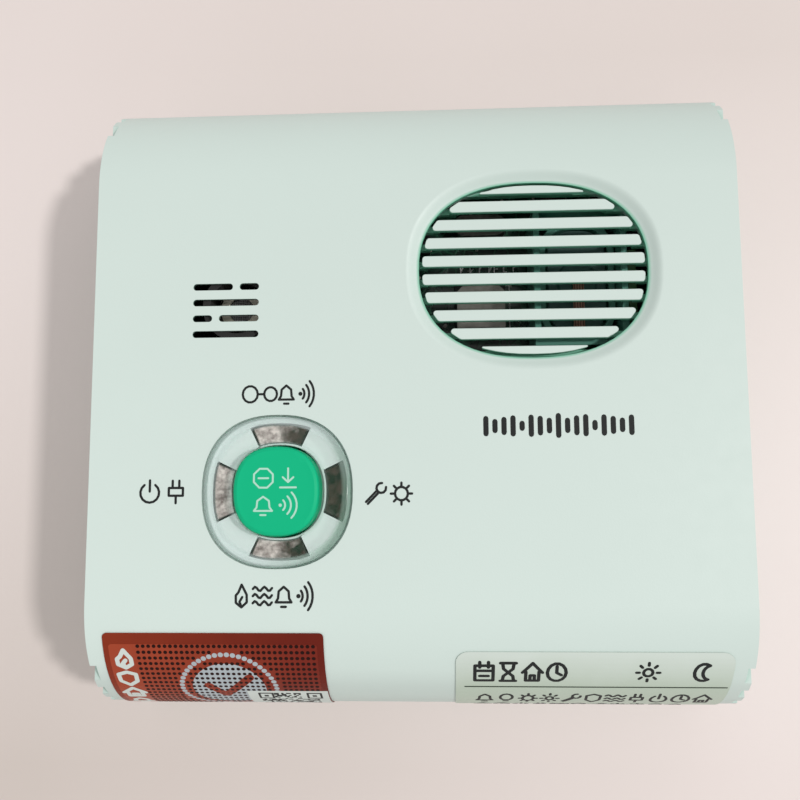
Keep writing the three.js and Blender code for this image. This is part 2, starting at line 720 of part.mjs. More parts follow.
// A square metal can with two cut corners, open at the bottom, with a small breathing hole.
function coSensorCan() {
  const { x, y, half, low, high } = CO_SENSOR;
  const outline = (inset) => {
    const [h, chamfer] = [half - inset, 2.2];
    return new THREE.Shape([
      new THREE.Vector2(x - h, y - h),
      new THREE.Vector2(x + h, y - h),
      new THREE.Vector2(x + h, y + h - chamfer),
      new THREE.Vector2(x + h - chamfer, y + h),
      new THREE.Vector2(x - h + chamfer, y + h),
      new THREE.Vector2(x - h, y + h - chamfer),
    ]);
  };
  const body = slab(outline(0), low + 1.2 + GAP, high);
  const hollow = slab(outline(0.5), low, high - 0.5);
  return cut(body, [hollow, post(x, y + 1, 0.8, high - 1, high + 1, 16)]);
}

// ---------- speaker ----------

function speakerPocket() {
  const { x0, x1, y0, y1, low, high, wall } = POCKET;
  const inside = block([x0 + wall, y0 + wall, low - 1], [x1 - wall, y1 - wall, high + 1]);
  return block([x0, y0, low], [x1, y1, high]).subtract(inside);
}

function speakerOutline(inset) {
  const { x, y, halfX, halfY } = SPEAKER;
  const [w, h] = [halfX - inset, halfY - inset];
  return roundedRectangle(x - w, y - h, x + w, y + h, w * 0.8);
}

function speakerFrame() {
  const { x, y, low, high } = SPEAKER;
  return cut(slab(speakerOutline(0), low, high), [
    slab(speakerOutline(1.2), low + 0.9, high + 1),
    post(x, y, COIL_GAP.outer + 0.2, low - 1, high),
  ]);
}

// A shallow dish with a round dust cap in its middle.
function speakerCone() {
  const { x, y, high } = SPEAKER;
  const sheet = slab(speakerOutline(1.7), high - 1.0, high - 0.4);
  const dome = [[4.4, high - 0.9], [3.6, high + 0.1], [2.0, high + 0.5]];
  return sheet.add(turned(x, y, [[0, high - 0.9], ...dome, [0, high + 0.6]]));
}

function voiceCoil() {
  const { x, y, high } = SPEAKER;
  const [inner, outer] = [COIL_GAP.inner + GAP, COIL_GAP.outer - GAP];
  const top = high - 1.05;
  const drum = post(x, y, outer, COIL_LOW_Z, top, 32);
  return drum.subtract(post(x, y, inner, COIL_LOW_Z - 1, top + 1, 32));
}

function speakerMagnet() {
  const { x, y, low } = SPEAKER;
  const drum = post(x, y, MAGNET.radius, MAGNET.low, low - GAP, 32);
  const cup = drum.subtract(post(x, y, COIL_GAP.outer, MAGNET.floor, low, 32));
  return cup.add(post(x, y, COIL_GAP.inner, MAGNET.floor - 1, low - GAP, 32));
}

function speakerTerminal() {
  const { x, y, halfY, high } = SPEAKER;
  return block([x - 1.1, y - halfY + 0.4, high + 1.2], [x + 1.1, y + 0.2, high + 1.6]);
}

function speakerBoard() {
  const { x0, x1, y0, y1, high } = SPEAKER_BOARD;
  return block([x0, y0, PARTS_Z], [x1, y1, high]);
}

// ---------- power supply and logic ----------

// Stacked iron with two windows, and so a leg in its middle.
function transformerCore() {
  const { x, y, halfX, halfY, low, high, leg, yoke } = TRANSFORMER;
  const core = brick(x, y, 2 * halfX, 2 * halfY, low, high);
  const openings = [-1, 1].map((side) => {
    const [near, far] = [side * leg, side * (halfX - yoke)];
    return brick(x + (near + far) / 2, y, Math.abs(far - near), 4 * halfY, low + yoke, high - yoke);
  });
  return cut(core, openings);
}

function transformerWinding() {
  const { x, y, halfX, halfY, low, high, leg, yoke, overhang } = TRANSFORMER;
  const [z0, z1] = [low + yoke + GAP, high - yoke - GAP];
  const outer = 2 * (halfX - yoke - GAP);
  const coil = brick(x, y, outer, 2 * (halfY + overhang), z0, z1);
  return coil.subtract(brick(x, y, 2 * (leg + GAP), 2 * (halfY + GAP), z0 - 1, z1 + 1));
}

// A block that stands on the main board.
function boardBlock({ x, y, sizeX, sizeY, height }) {
  return brick(x, y, sizeX, sizeY, PARTS_Z, PARTS_Z + height);
}

// A can with a groove near its foot.
function electrolytic([x, y]) {
  const { radius, height } = ELECTROLYTIC;
  const [foot, top] = [PARTS_Z, PARTS_Z + height];
  const base = [[0, foot], [radius - 0.2, foot], [radius, foot + 0.4], [radius, foot + 1.6]];
  const groove = [[radius - 0.4, foot + 2.1], [radius, foot + 2.6]];
  return turned(x, y, [...base, ...groove, [radius, top - 0.4], [radius - 0.4, top], [0, top]]);
}

// A round core wound all over.
function chokeCoil() {
  const { x, y, reach, thick } = CHOKE;
  const middle = PARTS_Z + GAP + thick;
  const rows = [];
  for (let i = 0; i <= 12; i += 1) {
    const turn = (2 * Math.PI * i) / 12;
    rows.push([reach + thick * Math.cos(turn), middle + thick * Math.sin(turn)]);
  }
  rows[12] = rows[0];
  return turned(x, y, rows, 32);
}

function fuse() {
  const { x, y, radius, length } = FUSE;
  const geometry = new THREE.CylinderGeometry(radius, radius, length, 20);
  geometry.rotateZ(Math.PI / 2);
  geometry.translate(x, y, PARTS_Z + radius);
  return solid(geometry);
}

function varistor() {
  const { x, y, radius, thick } = VARISTOR;
  const geometry = new THREE.CylinderGeometry(radius, radius, thick, 24);
  geometry.translate(x, y, PARTS_Z + radius);
  return solid(geometry);
}

function terminalBlock() {
  const { x, y, height, spacing, well } = TERMINALS;
  const top = PARTS_Z + height;
  const spots = [x - spacing / 2, x + spacing / 2];
  return cut(boardBlock(TERMINALS), spots.map((spot) => post(spot, y + 1, well, top - 6, top + 1)));
}

function relay() {
  const { x0, y0, x1, y1, height } = RELAY;
  return slab(roundedRectangle(x0, y0, x1, y1, 0.8), PARTS_Z, PARTS_Z + height);
}

function controller() {
  const { x, y, size, height } = CONTROLLER;
  return brick(x, y, size, size, PARTS_Z, PARTS_Z + height);
}

function crystal() {
  const { x0, y0, x1, y1, height } = CRYSTAL;
  return slab(roundedRectangle(x0, y0, x1, y1, 2.2), PARTS_Z, PARTS_Z + height);
}

// ---------- assembly ----------

function finish(color, roughness, metalness = 0) {
  return new THREE.MeshStandardMaterial({ color, roughness, metalness });
}

const mint = finish(0xd5e4dc, 0.55);
const greenButton = finish(0x1bb887, 0.4);
const clear = finish(0xd9ece4, 0.1);
const silver = finish(0xa8a8a4, 0.35, 0.9);
const steel = finish(0x8f9294, 0.4, 0.9);
const nickel = finish(0xc9c6bd, 0.3, 1);
const copper = finish(0xb5643a, 0.4, 0.9);
const boardGreen = finish(0x123a2c, 0.5);
const black = finish(0x1b1d1e, 0.6);
const rubber = finish(0x26282a, 0.9);
const redPaper = finish(0x9a3626, 0.4);
const palePaper = finish(0xcfd9cf, 0.4);
const whitePlastic = finish(0xe9e9e4, 0.5);
const blueSleeve = finish(0x25406f, 0.4);
const glass = finish(0xe8efef, 0.1);
const teal = finish(0x24413c, 0.7);
const bluePlastic = finish(0x2f5fa8, 0.5);
const yellowFilm = finish(0xc9a83a, 0.5);

const alarm = new THREE.Group();

function add(name, body, material) {
  const mesh = new THREE.Mesh(geometryOf(body), material);
  mesh.name = name;
  alarm.add(mesh);
}

add('mounting_plate', mountingPlate(), whitePlastic);
add('rear_case', rearCase(), mint);
add('front_cover', frontCover(), mint);
add('grille_insert', grilleInsert(), mint);
add('cord_grommet', cordGrommet(), rubber);
CASE_SCREWS.forEach((spot, i) => add(`case_screw_${i + 1}`, caseScrew(spot), steel));

add('indicator_ring', indicatorRing(), clear);
add('indicator_lens', indicatorLens(), silver);
add('light_shield', lightShield(), whitePlastic);
const lamps = ['led_co_alarm', 'led_fault', 'led_gas_alarm', 'led_power'];
lamps.forEach((name, i) => add(name, led(WINDOW_ANGLES[i]), clear));
add('button_cap', buttonCap(), greenButton);
add('switch_body', switchBody(), black);
add('switch_plunger', switchPlunger(), whitePlastic);
add('indicator_board', panelBoard(), boardGreen);
PANEL_SCREWS.forEach((spot, i) => add(`indicator_board_screw_${i + 1}`, panelScrew(spot), steel));
add('upper_header', header(HEADER.highBottom, PANEL_BOARD.low - GAP), whitePlastic);
add('ribbon_cable', ribbonCable(), palePaper);
add('lower_header', header(PARTS_Z, HEADER.lowTop), whitePlastic);

add('main_board', mainBoard(), boardGreen);
STANDOFFS.forEach((spot, i) => add(`board_screw_${i + 1}`, boardScrew(spot), steel));
add('gas_sensor_holder', gasSensorHolder(), black);
add('gas_sensor_base', gasSensorBase(), nickel);
add('gas_sensor_cap', gasSensorCap(), nickel);
add('gas_sensor_mesh', gasSensorMesh(), steel);
add('gas_sensor_collar', gasSensorCollar(), rubber);
add('co_sensor_base', coSensorBase(), black);
add('co_sensor_can', coSensorCan(), nickel);

add('speaker_pocket', speakerPocket(), teal);
add('speaker_frame', speakerFrame(), teal);
add('speaker_cone', speakerCone(), teal);
add('voice_coil', voiceCoil(), copper);
add('speaker_magnet', speakerMagnet(), steel);
add('speaker_terminal', speakerTerminal(), copper);
add('speaker_board', speakerBoard(), boardGreen);

add('transformer_core', transformerCore(), steel);
add('transformer_winding', transformerWinding(), yellowFilm);
ELECTROLYTIC.spots.forEach((spot, i) => add(`electrolytic_${i + 1}`, electrolytic(spot), blueSleeve));
add('film_capacitor', boardBlock(FILM_CAPACITOR), yellowFilm);
add('fuse', fuse(), glass);
add('varistor', varistor(), bluePlastic);
add('terminal_block', terminalBlock(), bluePlastic);
add('choke_coil', chokeCoil(), copper);
add('relay', relay(), black);
add('microcontroller', controller(), black);
add('crystal', crystal(), nickel);

add('certification_label', rollLabel(CERTIFICATION), redPaper);
add('date_label', rollLabel(DATE), palePaper);
add('rating_label', ratingLabel(), palePaper);

export default alarm;
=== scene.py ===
"""A household carbon monoxide and gas alarm, lying on its back on a pale surface.

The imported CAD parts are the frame. This script gives them their surfaces, rounds their edges,
and adds what is printed or stuck on: the signs on the case and the button, the white marks on
the circuit board, and the printed faces of the two labels on the lower roll.
Lengths are in millimetres up to the functions that make a mesh, which turn them into metres.
"""
import json
import math
import random

import bmesh
import bpy
from mathutils import Matrix, Vector
from mathutils.geometry import delaunay_2d_cdt


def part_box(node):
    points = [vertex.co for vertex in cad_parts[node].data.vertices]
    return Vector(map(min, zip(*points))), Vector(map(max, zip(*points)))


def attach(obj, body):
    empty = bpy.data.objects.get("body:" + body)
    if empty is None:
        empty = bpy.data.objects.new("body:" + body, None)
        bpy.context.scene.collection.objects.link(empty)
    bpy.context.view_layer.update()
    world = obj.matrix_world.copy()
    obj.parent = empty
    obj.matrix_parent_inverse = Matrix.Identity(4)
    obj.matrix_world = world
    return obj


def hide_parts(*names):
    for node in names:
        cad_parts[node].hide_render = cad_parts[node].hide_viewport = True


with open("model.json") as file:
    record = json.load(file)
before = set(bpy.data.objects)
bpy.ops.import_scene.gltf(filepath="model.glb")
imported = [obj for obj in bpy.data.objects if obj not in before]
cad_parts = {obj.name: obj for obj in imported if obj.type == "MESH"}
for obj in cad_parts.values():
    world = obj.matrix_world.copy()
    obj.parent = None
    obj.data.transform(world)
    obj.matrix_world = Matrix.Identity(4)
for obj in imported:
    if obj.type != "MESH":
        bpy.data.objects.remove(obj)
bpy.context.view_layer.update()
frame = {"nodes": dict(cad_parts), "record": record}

MM = 0.001


# ---------- places, from the CAD ----------

def corners(node):
    """A CAD node's low and high corners in millimetres."""
    low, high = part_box(node)
    return low / MM, high / MM


def middle(node):
    """The middle of a CAD node's box in millimetres."""
    low, high = corners(node)
    return (low + high) / 2


COVER_HIGH = corners("front_cover")[1]
FACE_Z = COVER_HIGH.z
BUTTON_MID = middle("button_cap")
BUTTON_TOP = corners("button_cap")[1].z
RING_MID = middle("indicator_ring")
RING_HALF = corners("indicator_ring")[1] - RING_MID
GRILLE_MID = middle("grille_insert")
BOARD_TOP = corners("main_board")[1].z

# The hole for the grille, the patch of slots over the gas sensor, and the dish in the button.
GRILLE_HALF = (21.2, 16.6)
PORT_MID = (-35, 14.55)
PORT_HALF = (11, 10)
BUTTON_DISH = 0.1

# The power of the squircles that the ring, the button and the grille are.
SQUIRCLE = 2.35

# The bottom edge of the cover rolls over with this radius, about this line.
ROLL_RADIUS = 21
ROLL_Y = COVER_HIGH.y - ROLL_RADIUS
ROLL_Z = FACE_Z - ROLL_RADIUS


# ---------- camera ----------

# All in millimetres, and its turns in degrees about the world's axes.
CAMERA_SENSOR = 36
CAMERA_LENS = 38.7
CAMERA_NEAREST = 10
CAMERA_PLACE = (5.35, -20.43, FACE_Z + 155.86)
CAMERA_TURNS = ((-6.505, "X"), (-2.863, "Y"), (0.644, "Z"))


def make_camera():
    """Straight down on the face, tipped a few degrees, as the alarm is seen."""
    data = bpy.data.cameras.new("camera")
    data.sensor_width = CAMERA_SENSOR
    data.lens = CAMERA_LENS
    data.clip_start = CAMERA_NEAREST * MM
    camera = bpy.data.objects.new("camera", data)
    bpy.context.scene.collection.objects.link(camera)
    to_camera = Matrix.Identity(3)
    for degrees, axis in CAMERA_TURNS:
        to_camera = Matrix.Rotation(math.radians(degrees), 3, axis) @ to_camera
    place = Vector(CAMERA_PLACE) * MM
    camera.matrix_world = Matrix.Translation(place) @ to_camera.transposed().to_4x4()
    bpy.context.scene.camera = camera


# ---------- materials ----------

# The parts of a noise's range that a pattern uses: most of it, or only its middle.
SOFT = (0.3, 0.7)
CRISP = (0.35, 0.65)


class Look:
    """A Principled material and the few kinds of node that its pattern needs."""

    def __init__(self, name, colour, roughness, **plain):
        self.material = bpy.data.materials.new(name)
        self.material.use_nodes = True
        tree = self.material.node_tree
        self.nodes = tree.nodes
        self.links = tree.links
        self.shader = self.nodes["Principled BSDF"]
        self.shader.inputs["Base Color"].default_value = (*colour, 1)
        self.shader.inputs["Roughness"].default_value = roughness
        for socket, value in plain.items():
            self.shader.inputs[socket.replace("_", " ")].default_value = value
        self.place = self.nodes.new("ShaderNodeTexCoord").outputs["Object"]

    def join(self, source, socket):
        self.links.new(source, socket)

    def squeezed(self, along, factor):
        """The place, stretched or squeezed along one axis."""
        mapping = self.nodes.new("ShaderNodeMapping")
        scale = [1, 1, 1]
        scale["XYZ".index(along)] = factor
        mapping.inputs["Scale"].default_value = scale
        self.join(self.place, mapping.inputs["Vector"])
        return mapping.outputs["Vector"]

    def noise(self, size, detail=2.0, place=None):
        """Soft noise whose blots are about size millimetres across."""
        node = self.nodes.new("ShaderNodeTexNoise")
        node.inputs["Scale"].default_value = 1 / (size * MM)
        node.inputs["Detail"].default_value = detail
        self.join(place or self.place, node.inputs["Vector"])
        return node.outputs["Fac"]

    def cells(self, size, feature="F1"):
        """How far it is to a cell's middle, or its edge; the cells are size millimetres across."""
        node = self.nodes.new("ShaderNodeTexVoronoi")
        node.feature = feature
        node.inputs["Scale"].default_value = 1 / (size * MM)
        self.join(self.place, node.inputs["Vector"])
        return node.outputs["Distance"]

    def bands(self, size, direction="X", wobble=0.0):
        """Stripes that repeat each size millimetres across direction."""
        node = self.nodes.new("ShaderNodeTexWave")
        node.bands_direction = direction
        node.inputs["Scale"].default_value = 1 / (size * MM) * math.pi / 10
        node.inputs["Distortion"].default_value = wobble
        self.join(self.place, node.inputs["Vector"])
        return node.outputs["Fac"]

    def along(self, axis, low, high):
        """0 at low and 1 at high millimetres along an axis."""
        split = self.nodes.new("ShaderNodeSeparateXYZ")
        self.join(self.place, split.inputs[0])
        return self.ranged(split.outputs[axis], low * MM, high * MM)

    def math(self, operation, first, second=0.0):
        """One step of arithmetic; first and second are numbers or a node's outputs."""
        node = self.nodes.new("ShaderNodeMath")
        node.operation = operation
        for value, socket in zip((first, second), node.inputs):
            if isinstance(value, bpy.types.NodeSocket):
                self.join(value, socket)
            else:
                socket.default_value = value
        return node.outputs[0]

    def sum_of(self, first, second):
        return self.math("ADD", first, second)

    def around(self, centre, halves):
        """How far out in a squircle, 0 in its middle and 1 at its rim, and at what angle."""
        split = self.nodes.new("ShaderNodeSeparateXYZ")
        self.join(self.place, split.inputs[0])
        shares = []
        for axis, middle_at, half in zip("XY", centre, halves):
            offset = self.math("SUBTRACT", split.outputs[axis], middle_at * MM)
            shares.append(self.math("DIVIDE", offset, half * MM))
        powers = [self.math("POWER", self.math("ABSOLUTE", share), SQUIRCLE) for share in shares]
        out = self.math("POWER", self.sum_of(*powers), 1 / SQUIRCLE)
        return out, self.math("ARCTAN2", shares[1], shares[0])

    def ramp(self, source, stops):
        """A value that goes from stop to stop; each stop is a place and the value there."""
        node = self.nodes.new("ShaderNodeValToRGB")
        ends = node.color_ramp.elements
        for i, (place, value) in enumerate(stops):
            stop = ends[i] if i < 2 else ends.new(place)
            stop.position = place
            stop.color = (value, value, value, 1)
        self.join(source, node.inputs["Fac"])
        return node.outputs["Color"]

    def ranged(self, source, low, high, to_low=0.0, to_high=1.0):
        """What goes from low to high made to go from to_low to to_high, and no further."""
        node = self.nodes.new("ShaderNodeMapRange")
        values = {"From Min": low, "From Max": high, "To Min": to_low, "To Max": to_high}
        for socket, value in values.items():
            node.inputs[socket].default_value = value
        self.join(source, node.inputs["Value"])
        return node.outputs["Result"]

    def mixed(self, factor, first, second):
        """A colour between first and second; each is a colour or a node's output."""
        node = self.nodes.new("ShaderNodeMix")
        node.data_type = "RGBA"
        self.join(factor, node.inputs["Factor"])
        first_colour, second_colour = 6, 7
        for value, which in ((first, first_colour), (second, second_colour)):
            socket = node.inputs[which]
            if isinstance(value, bpy.types.NodeSocket):
                self.join(value, socket)
            else:
                socket.default_value = (*value, 1)
        mixed_colour = 2
        return node.outputs[mixed_colour]

    def shade(self, distance):
        """1 in the open and 0 deep in a gap narrower than distance."""
        node = self.nodes.new("ShaderNodeAmbientOcclusion")
        node.samples = 6
        node.only_local = True
        node.inputs["Distance"].default_value = distance * MM
        return node.outputs["AO"]

    def colour(self, source):
        """Give the surface this colour."""
        self.join(source, self.shader.inputs["Base Color"])

    def rough(self, source, low, high):
        """Let the roughness follow a noise, between low and high."""
        self.join(self.ranged(source, *SOFT, low, high), self.shader.inputs["Roughness"])

    def bump(self, height, depth, strength=1.0):
        """Relief depth millimetres deep, on top of any that is there."""
        node = self.nodes.new("ShaderNodeBump")
        node.inputs["Strength"].default_value = strength
        node.inputs["Distance"].default_value = depth * MM
        self.join(height, node.inputs["Height"])
        before = self.shader.inputs["Normal"]
        if before.is_linked:
            self.join(before.links[0].from_socket, node.inputs["Normal"])
        self.join(node.outputs["Normal"], before)


# How deep in a gap the painted shade of a moulded part shows, and over what depth a pocket's
# painted light and shade begins.
PAINTED_SHADE_REACH = 2.5
POCKET_FADE = 0.25

# Where the cover's painted shade changes: both ways across the face, and down its lower roll along
# Y.
FACE_SHADE_ENDS = (-60, 60)
ROLL_SHADE_ENDS = (-50, -55)

# How solid the clear ring looks, from its middle out: the inner lip, the flat over the windows,
# the shoulder and the rim; the more solid lip and shoulder carry a pale painted highlight, and the
# rim a dark painted shade. Its painted green shade goes across this far each way from its middle.
RING_ALPHA = ((0.0, 0.2), (0.62, 0.2), (0.68, 0.012), (0.87, 0.012),
              (0.9, 0.2), (0.98, 0.2), (0.998, 0.5))
RING_REACH = 15


def dimmed(colour, share):
    """A colour made darker, or lighter but never past white."""
    return tuple(min(1, c * share) for c in colour)


def moulded(name, colour, deep, roughness=0.5, grain=0.35, depth=0.012, specks=0.0,
            specular=0.5, far=1.0, pockets=()):
    """Moulded plastic: spark-eroded grain, faint mottling, and painted shade, a deeper tint, in its
    gaps.

    specks is how far apart its dust specks are, and far how bright its painted shade leaves its
    upper right and its lower roll. Each of the pockets is a squircle's middle and halves, how far
    below the face it starts, and the colour of the painted light and shade inside it.
    """
    look = Look(name, colour, roughness, Specular_IOR_Level=specular)
    mottled = look.mixed(look.ranged(look.noise(30, 2), *SOFT), colour, dimmed(colour, 1.02))
    # Painted shade: the upper right of the face and the lower roll are darkened to the share far.
    if far != 1:
        aslant = look.sum_of(look.along("X", *FACE_SHADE_ENDS), look.along("Y", *FACE_SHADE_ENDS))
        fade = look.math("MAXIMUM", look.ranged(aslant, 0, 2), look.along("Y", *ROLL_SHADE_ENDS))
        mottled = look.mixed(fade, mottled, dimmed(colour, far))
    # Painted shade: the plastic turns to its deeper colour in gaps and crevices, by an occlusion
    # mask.
    painted_shade_and_dust = look.mixed(look.shade(PAINTED_SHADE_REACH), deep, mottled)
    if specks:
        dust = look.ranged(look.cells(specks), 0.02, 0.035, 1, 0)
        patch = look.ranged(look.noise(specks * 1.7, 1), 0.56, 0.6)
        spots = look.math("MULTIPLY", dust, patch)
        painted_shade_and_dust = look.mixed(spots, painted_shade_and_dust, dimmed(colour, 0.45))
    # Painted light and shade: inside each pocket, below the face, the plastic takes the pocket's
    # colour.
    for centre, halves, start, inner in pockets:
        out, _ = look.around(centre, halves)
        below = look.along("Z", FACE_Z - start, FACE_Z - start - POCKET_FADE)
        within = look.ranged(out, 1.03, 1.0)
        painted_shade_and_dust = look.mixed(look.math("MULTIPLY", within, below), painted_shade_and_dust, inner)
    look.colour(painted_shade_and_dust)
    look.rough(look.noise(3.0, 4), roughness - 0.05, roughness + 0.06)
    look.bump(look.noise(grain, 3), depth)
    return look.material


def metal(name, colour, roughness, along=None, stretch=0.04):
    """Plated metal, brushed along one axis or clouded all over."""
    look = Look(name, colour, roughness, Metallic=1.0)
    place = look.squeezed(along, stretch) if along else look.place
    streaks = look.noise(0.25, 4, place)
    cloud = look.ranged(look.noise(1.8, 4), *CRISP)
    look.colour(look.mixed(cloud, dimmed(colour, 0.8), colour))
    look.rough(streaks, roughness - 0.08, roughness + 0.12)
    look.bump(streaks, 0.006, 0.6)
    return look.material


def smoky_lens():
    """Smoky metallic plastic in the windows, with a painted reflection, silvery on the left and
    dark green brown on the right, and painted shade along their edges.
    """
    look = Look("smoky_lens", (0.3, 0.28, 0.25), 0.35, Metallic=0.2, Specular_IOR_Level=0.3)
    # Painted reflection: the windows lighter and silvery on the left, dark green brown on the
    # right.
    cloud = look.ranged(look.noise(2.4, 3), *CRISP, -0.25, 0.25)
    tone = look.sum_of(look.along("X", RING_MID.x - 2, RING_MID.x + 4), cloud)
    grain = look.ranged(look.noise(1.3, 4), *CRISP)
    painted_bright_reflection = look.mixed(grain, (0.80, 0.73, 0.69), (0.22, 0.18, 0.165))
    murk = look.ranged(look.noise(1.7, 3), 0.38, 0.62)
    painted_dark_reflection = look.mixed(murk, (0.003, 0.024, 0.008), (0.065, 0.052, 0.036))
    inside = look.mixed(look.ranged(tone, 0.2, 0.8), painted_bright_reflection, painted_dark_reflection)
    # Painted shade: a dark line along the edges of each window.
    out, turn = look.around(RING_MID, RING_HALF)
    outer_edge = look.ranged(out, 0.885, 0.905)
    inner_edge = look.ranged(out, 0.675, 0.655)
    side_edges = look.ranged(look.math("PINGPONG", turn, math.pi / 4), 0.40, 0.42)
    edge = look.math("MAXIMUM", look.math("MAXIMUM", outer_edge, inner_edge), side_edges)
    look.colour(look.mixed(edge, inside, (0.018, 0.03, 0.018)))
    look.rough(look.noise(0.5, 4), 0.25, 0.5)
    look.bump(look.noise(0.35, 4), 0.03)
    return look.material


def clear_plastic():
    """Clear polycarbonate: a nearly clear flat, a painted dark rim of shade, a pale shoulder with a
    painted highlight, and painted green shade on the right.
    """
    look = Look("clear_plastic", (0.62, 0.72, 0.68), 0.12, IOR=1.5)
    # Painted shade: the ring greener and darker towards the right and the bottom.
    across = look.along("X", RING_MID.x - RING_REACH, RING_MID.x + RING_REACH)
    down = look.along("Y", RING_MID.y + RING_REACH, RING_MID.y - RING_REACH)
    lean = look.sum_of(across, look.math("MULTIPLY", down, 0.4))
    right = look.ranged(lean, 0.75, 1.2)
    soft = look.sum_of(right, look.ranged(look.noise(4, 3), *SOFT, -0.15, 0.15))
    body = look.mixed(soft, (0.88, 1.0, 1.0), (0.30, 0.54, 0.40))
    # Painted shade: a dark line round the rim; the alpha ramp gives the lip and the shoulder a pale
    # painted highlight.
    out, _ = look.around(RING_MID, RING_HALF)
    rim = look.ranged(out, 0.985, 0.998)
    look.colour(look.mixed(rim, body, (0.05, 0.13, 0.09)))
    look.join(look.ramp(out, RING_ALPHA), look.shader.inputs["Alpha"])
    look.bump(look.noise(2.4, 2), 0.02, 0.5)
    look.rough(look.noise(1.2, 3), 0.08, 0.16)
    return look.material


def resin(name, colour, roughness=0.12):
    """Clear or tinted epoxy and glass."""
    look = Look(name, colour, roughness, IOR=1.5)
    look.shader.inputs["Transmission Weight"].default_value = 0.85
    look.rough(look.noise(0.8, 3), roughness * 0.6, roughness * 1.5)
    look.bump(look.noise(1.0, 2), 0.01, 0.5)
    return look.material


def circuit_board():
    """Green solder mask over copper, with pads and runs showing through."""
    look = Look("circuit_board", (0.01, 0.06, 0.035), 0.35, Coat_Weight=0.4)
    runs = look.ranged(look.cells(3.2, "DISTANCE_TO_EDGE"), 0.04, 0.06, 1, 0)
    mask = look.mixed(runs, (0.008, 0.045, 0.028), (0.02, 0.11, 0.06))
    pads = look.ranged(look.cells(2.6), 0.15, 0.18, 1, 0)
    look.colour(look.mixed(pads, mask, (0.5, 0.47, 0.42)))
    look.bump(runs, 0.04)
    look.rough(look.noise(1.5, 3), 0.25, 0.42)
    return look.material


def sheeted(name, first, second, pitch, direction, depth, roughness=0.4, metallic=0.0):
    """Something made of many thin layers or turns, a pitch apart."""
    look = Look(name, first, roughness, Metallic=metallic)
    stripes = look.bands(pitch, direction, 0.15)
    look.colour(look.mixed(stripes, second, first))
    look.bump(stripes, depth)
    look.rough(look.noise(1.0, 3), roughness - 0.08, roughness + 0.1)
    return look.material


def smooth(look, roughness, depth):
    """Slow waves in the surface of a film."""
    look.bump(look.noise(2.5, 2), depth)
    look.rough(look.noise(0.7, 4), roughness - 0.08, roughness + 0.1)
    return look.material


def film(name, colour, roughness=0.3, depth=0.02, cloud=0.1, specular=0.5):
    """Smooth film, sleeve, varnish or ink, a little clouded."""
    look = Look(name, colour, roughness, Specular_IOR_Level=specular)
    waves = look.ranged(look.noise(9, 2), *SOFT)
    look.colour(look.mixed(waves, dimmed(colour, 1 - cloud), colour))
    return smooth(look, roughness, depth)


def faded(name, axis, ends, first, second):
    """A printed film whose colour goes from first to second between two places on an axis: painted
    shade lower down the roll on the pale label, and darker towards the right on the red label and
    its ink.
    """
    look = Look(name, first, 0.35, Specular_IOR_Level=0.15)
    tone = look.sum_of(look.along(axis, *ends), look.ranged(look.noise(7, 2), *SOFT, -0.1, 0.1))
    look.colour(look.mixed(look.ranged(tone, 0, 1), first, second))
    return smooth(look, 0.35, 0.004)


def woven(name, colour, pitch):
    """Fine woven wire."""
    look = Look(name, colour, 0.4, Metallic=1.0)
    wires = look.math("MAXIMUM", look.bands(pitch, "X"), look.bands(pitch, "Y"))
    look.colour(look.mixed(wires, (0.01, 0.01, 0.01), colour))
    look.bump(wires, 0.06)
    return look.material


MINT = (0.608, 0.712, 0.674)
MINT_SHADE = (0.10, 0.40, 0.28)

# How far apart the case's dust specks are, and the flat cable's wires.
SPECK_PITCH = 26
WIRE_PITCH = 1.27

# Painted light and shade on the cover below its face: green shade round the grille, paler light
# under the ring and dark shade in the port's slots.
POCKET_LIGHT_AND_SHADE = (
    (GRILLE_MID, GRILLE_HALF, 1.0, (0.15, 0.45, 0.31)),
    (RING_MID, RING_HALF, 1.0, (0.70, 0.80, 0.78)),
    (PORT_MID, PORT_HALF, 0.1, (0.03, 0.05, 0.042)),
)

# Where the red label's colours fade along X, and where the pale label's painted shade darkens it
# lower down the roll, along Y.
RED_ENDS = (-57, -20)
PALE_SHADE_ENDS = (-55, -48)


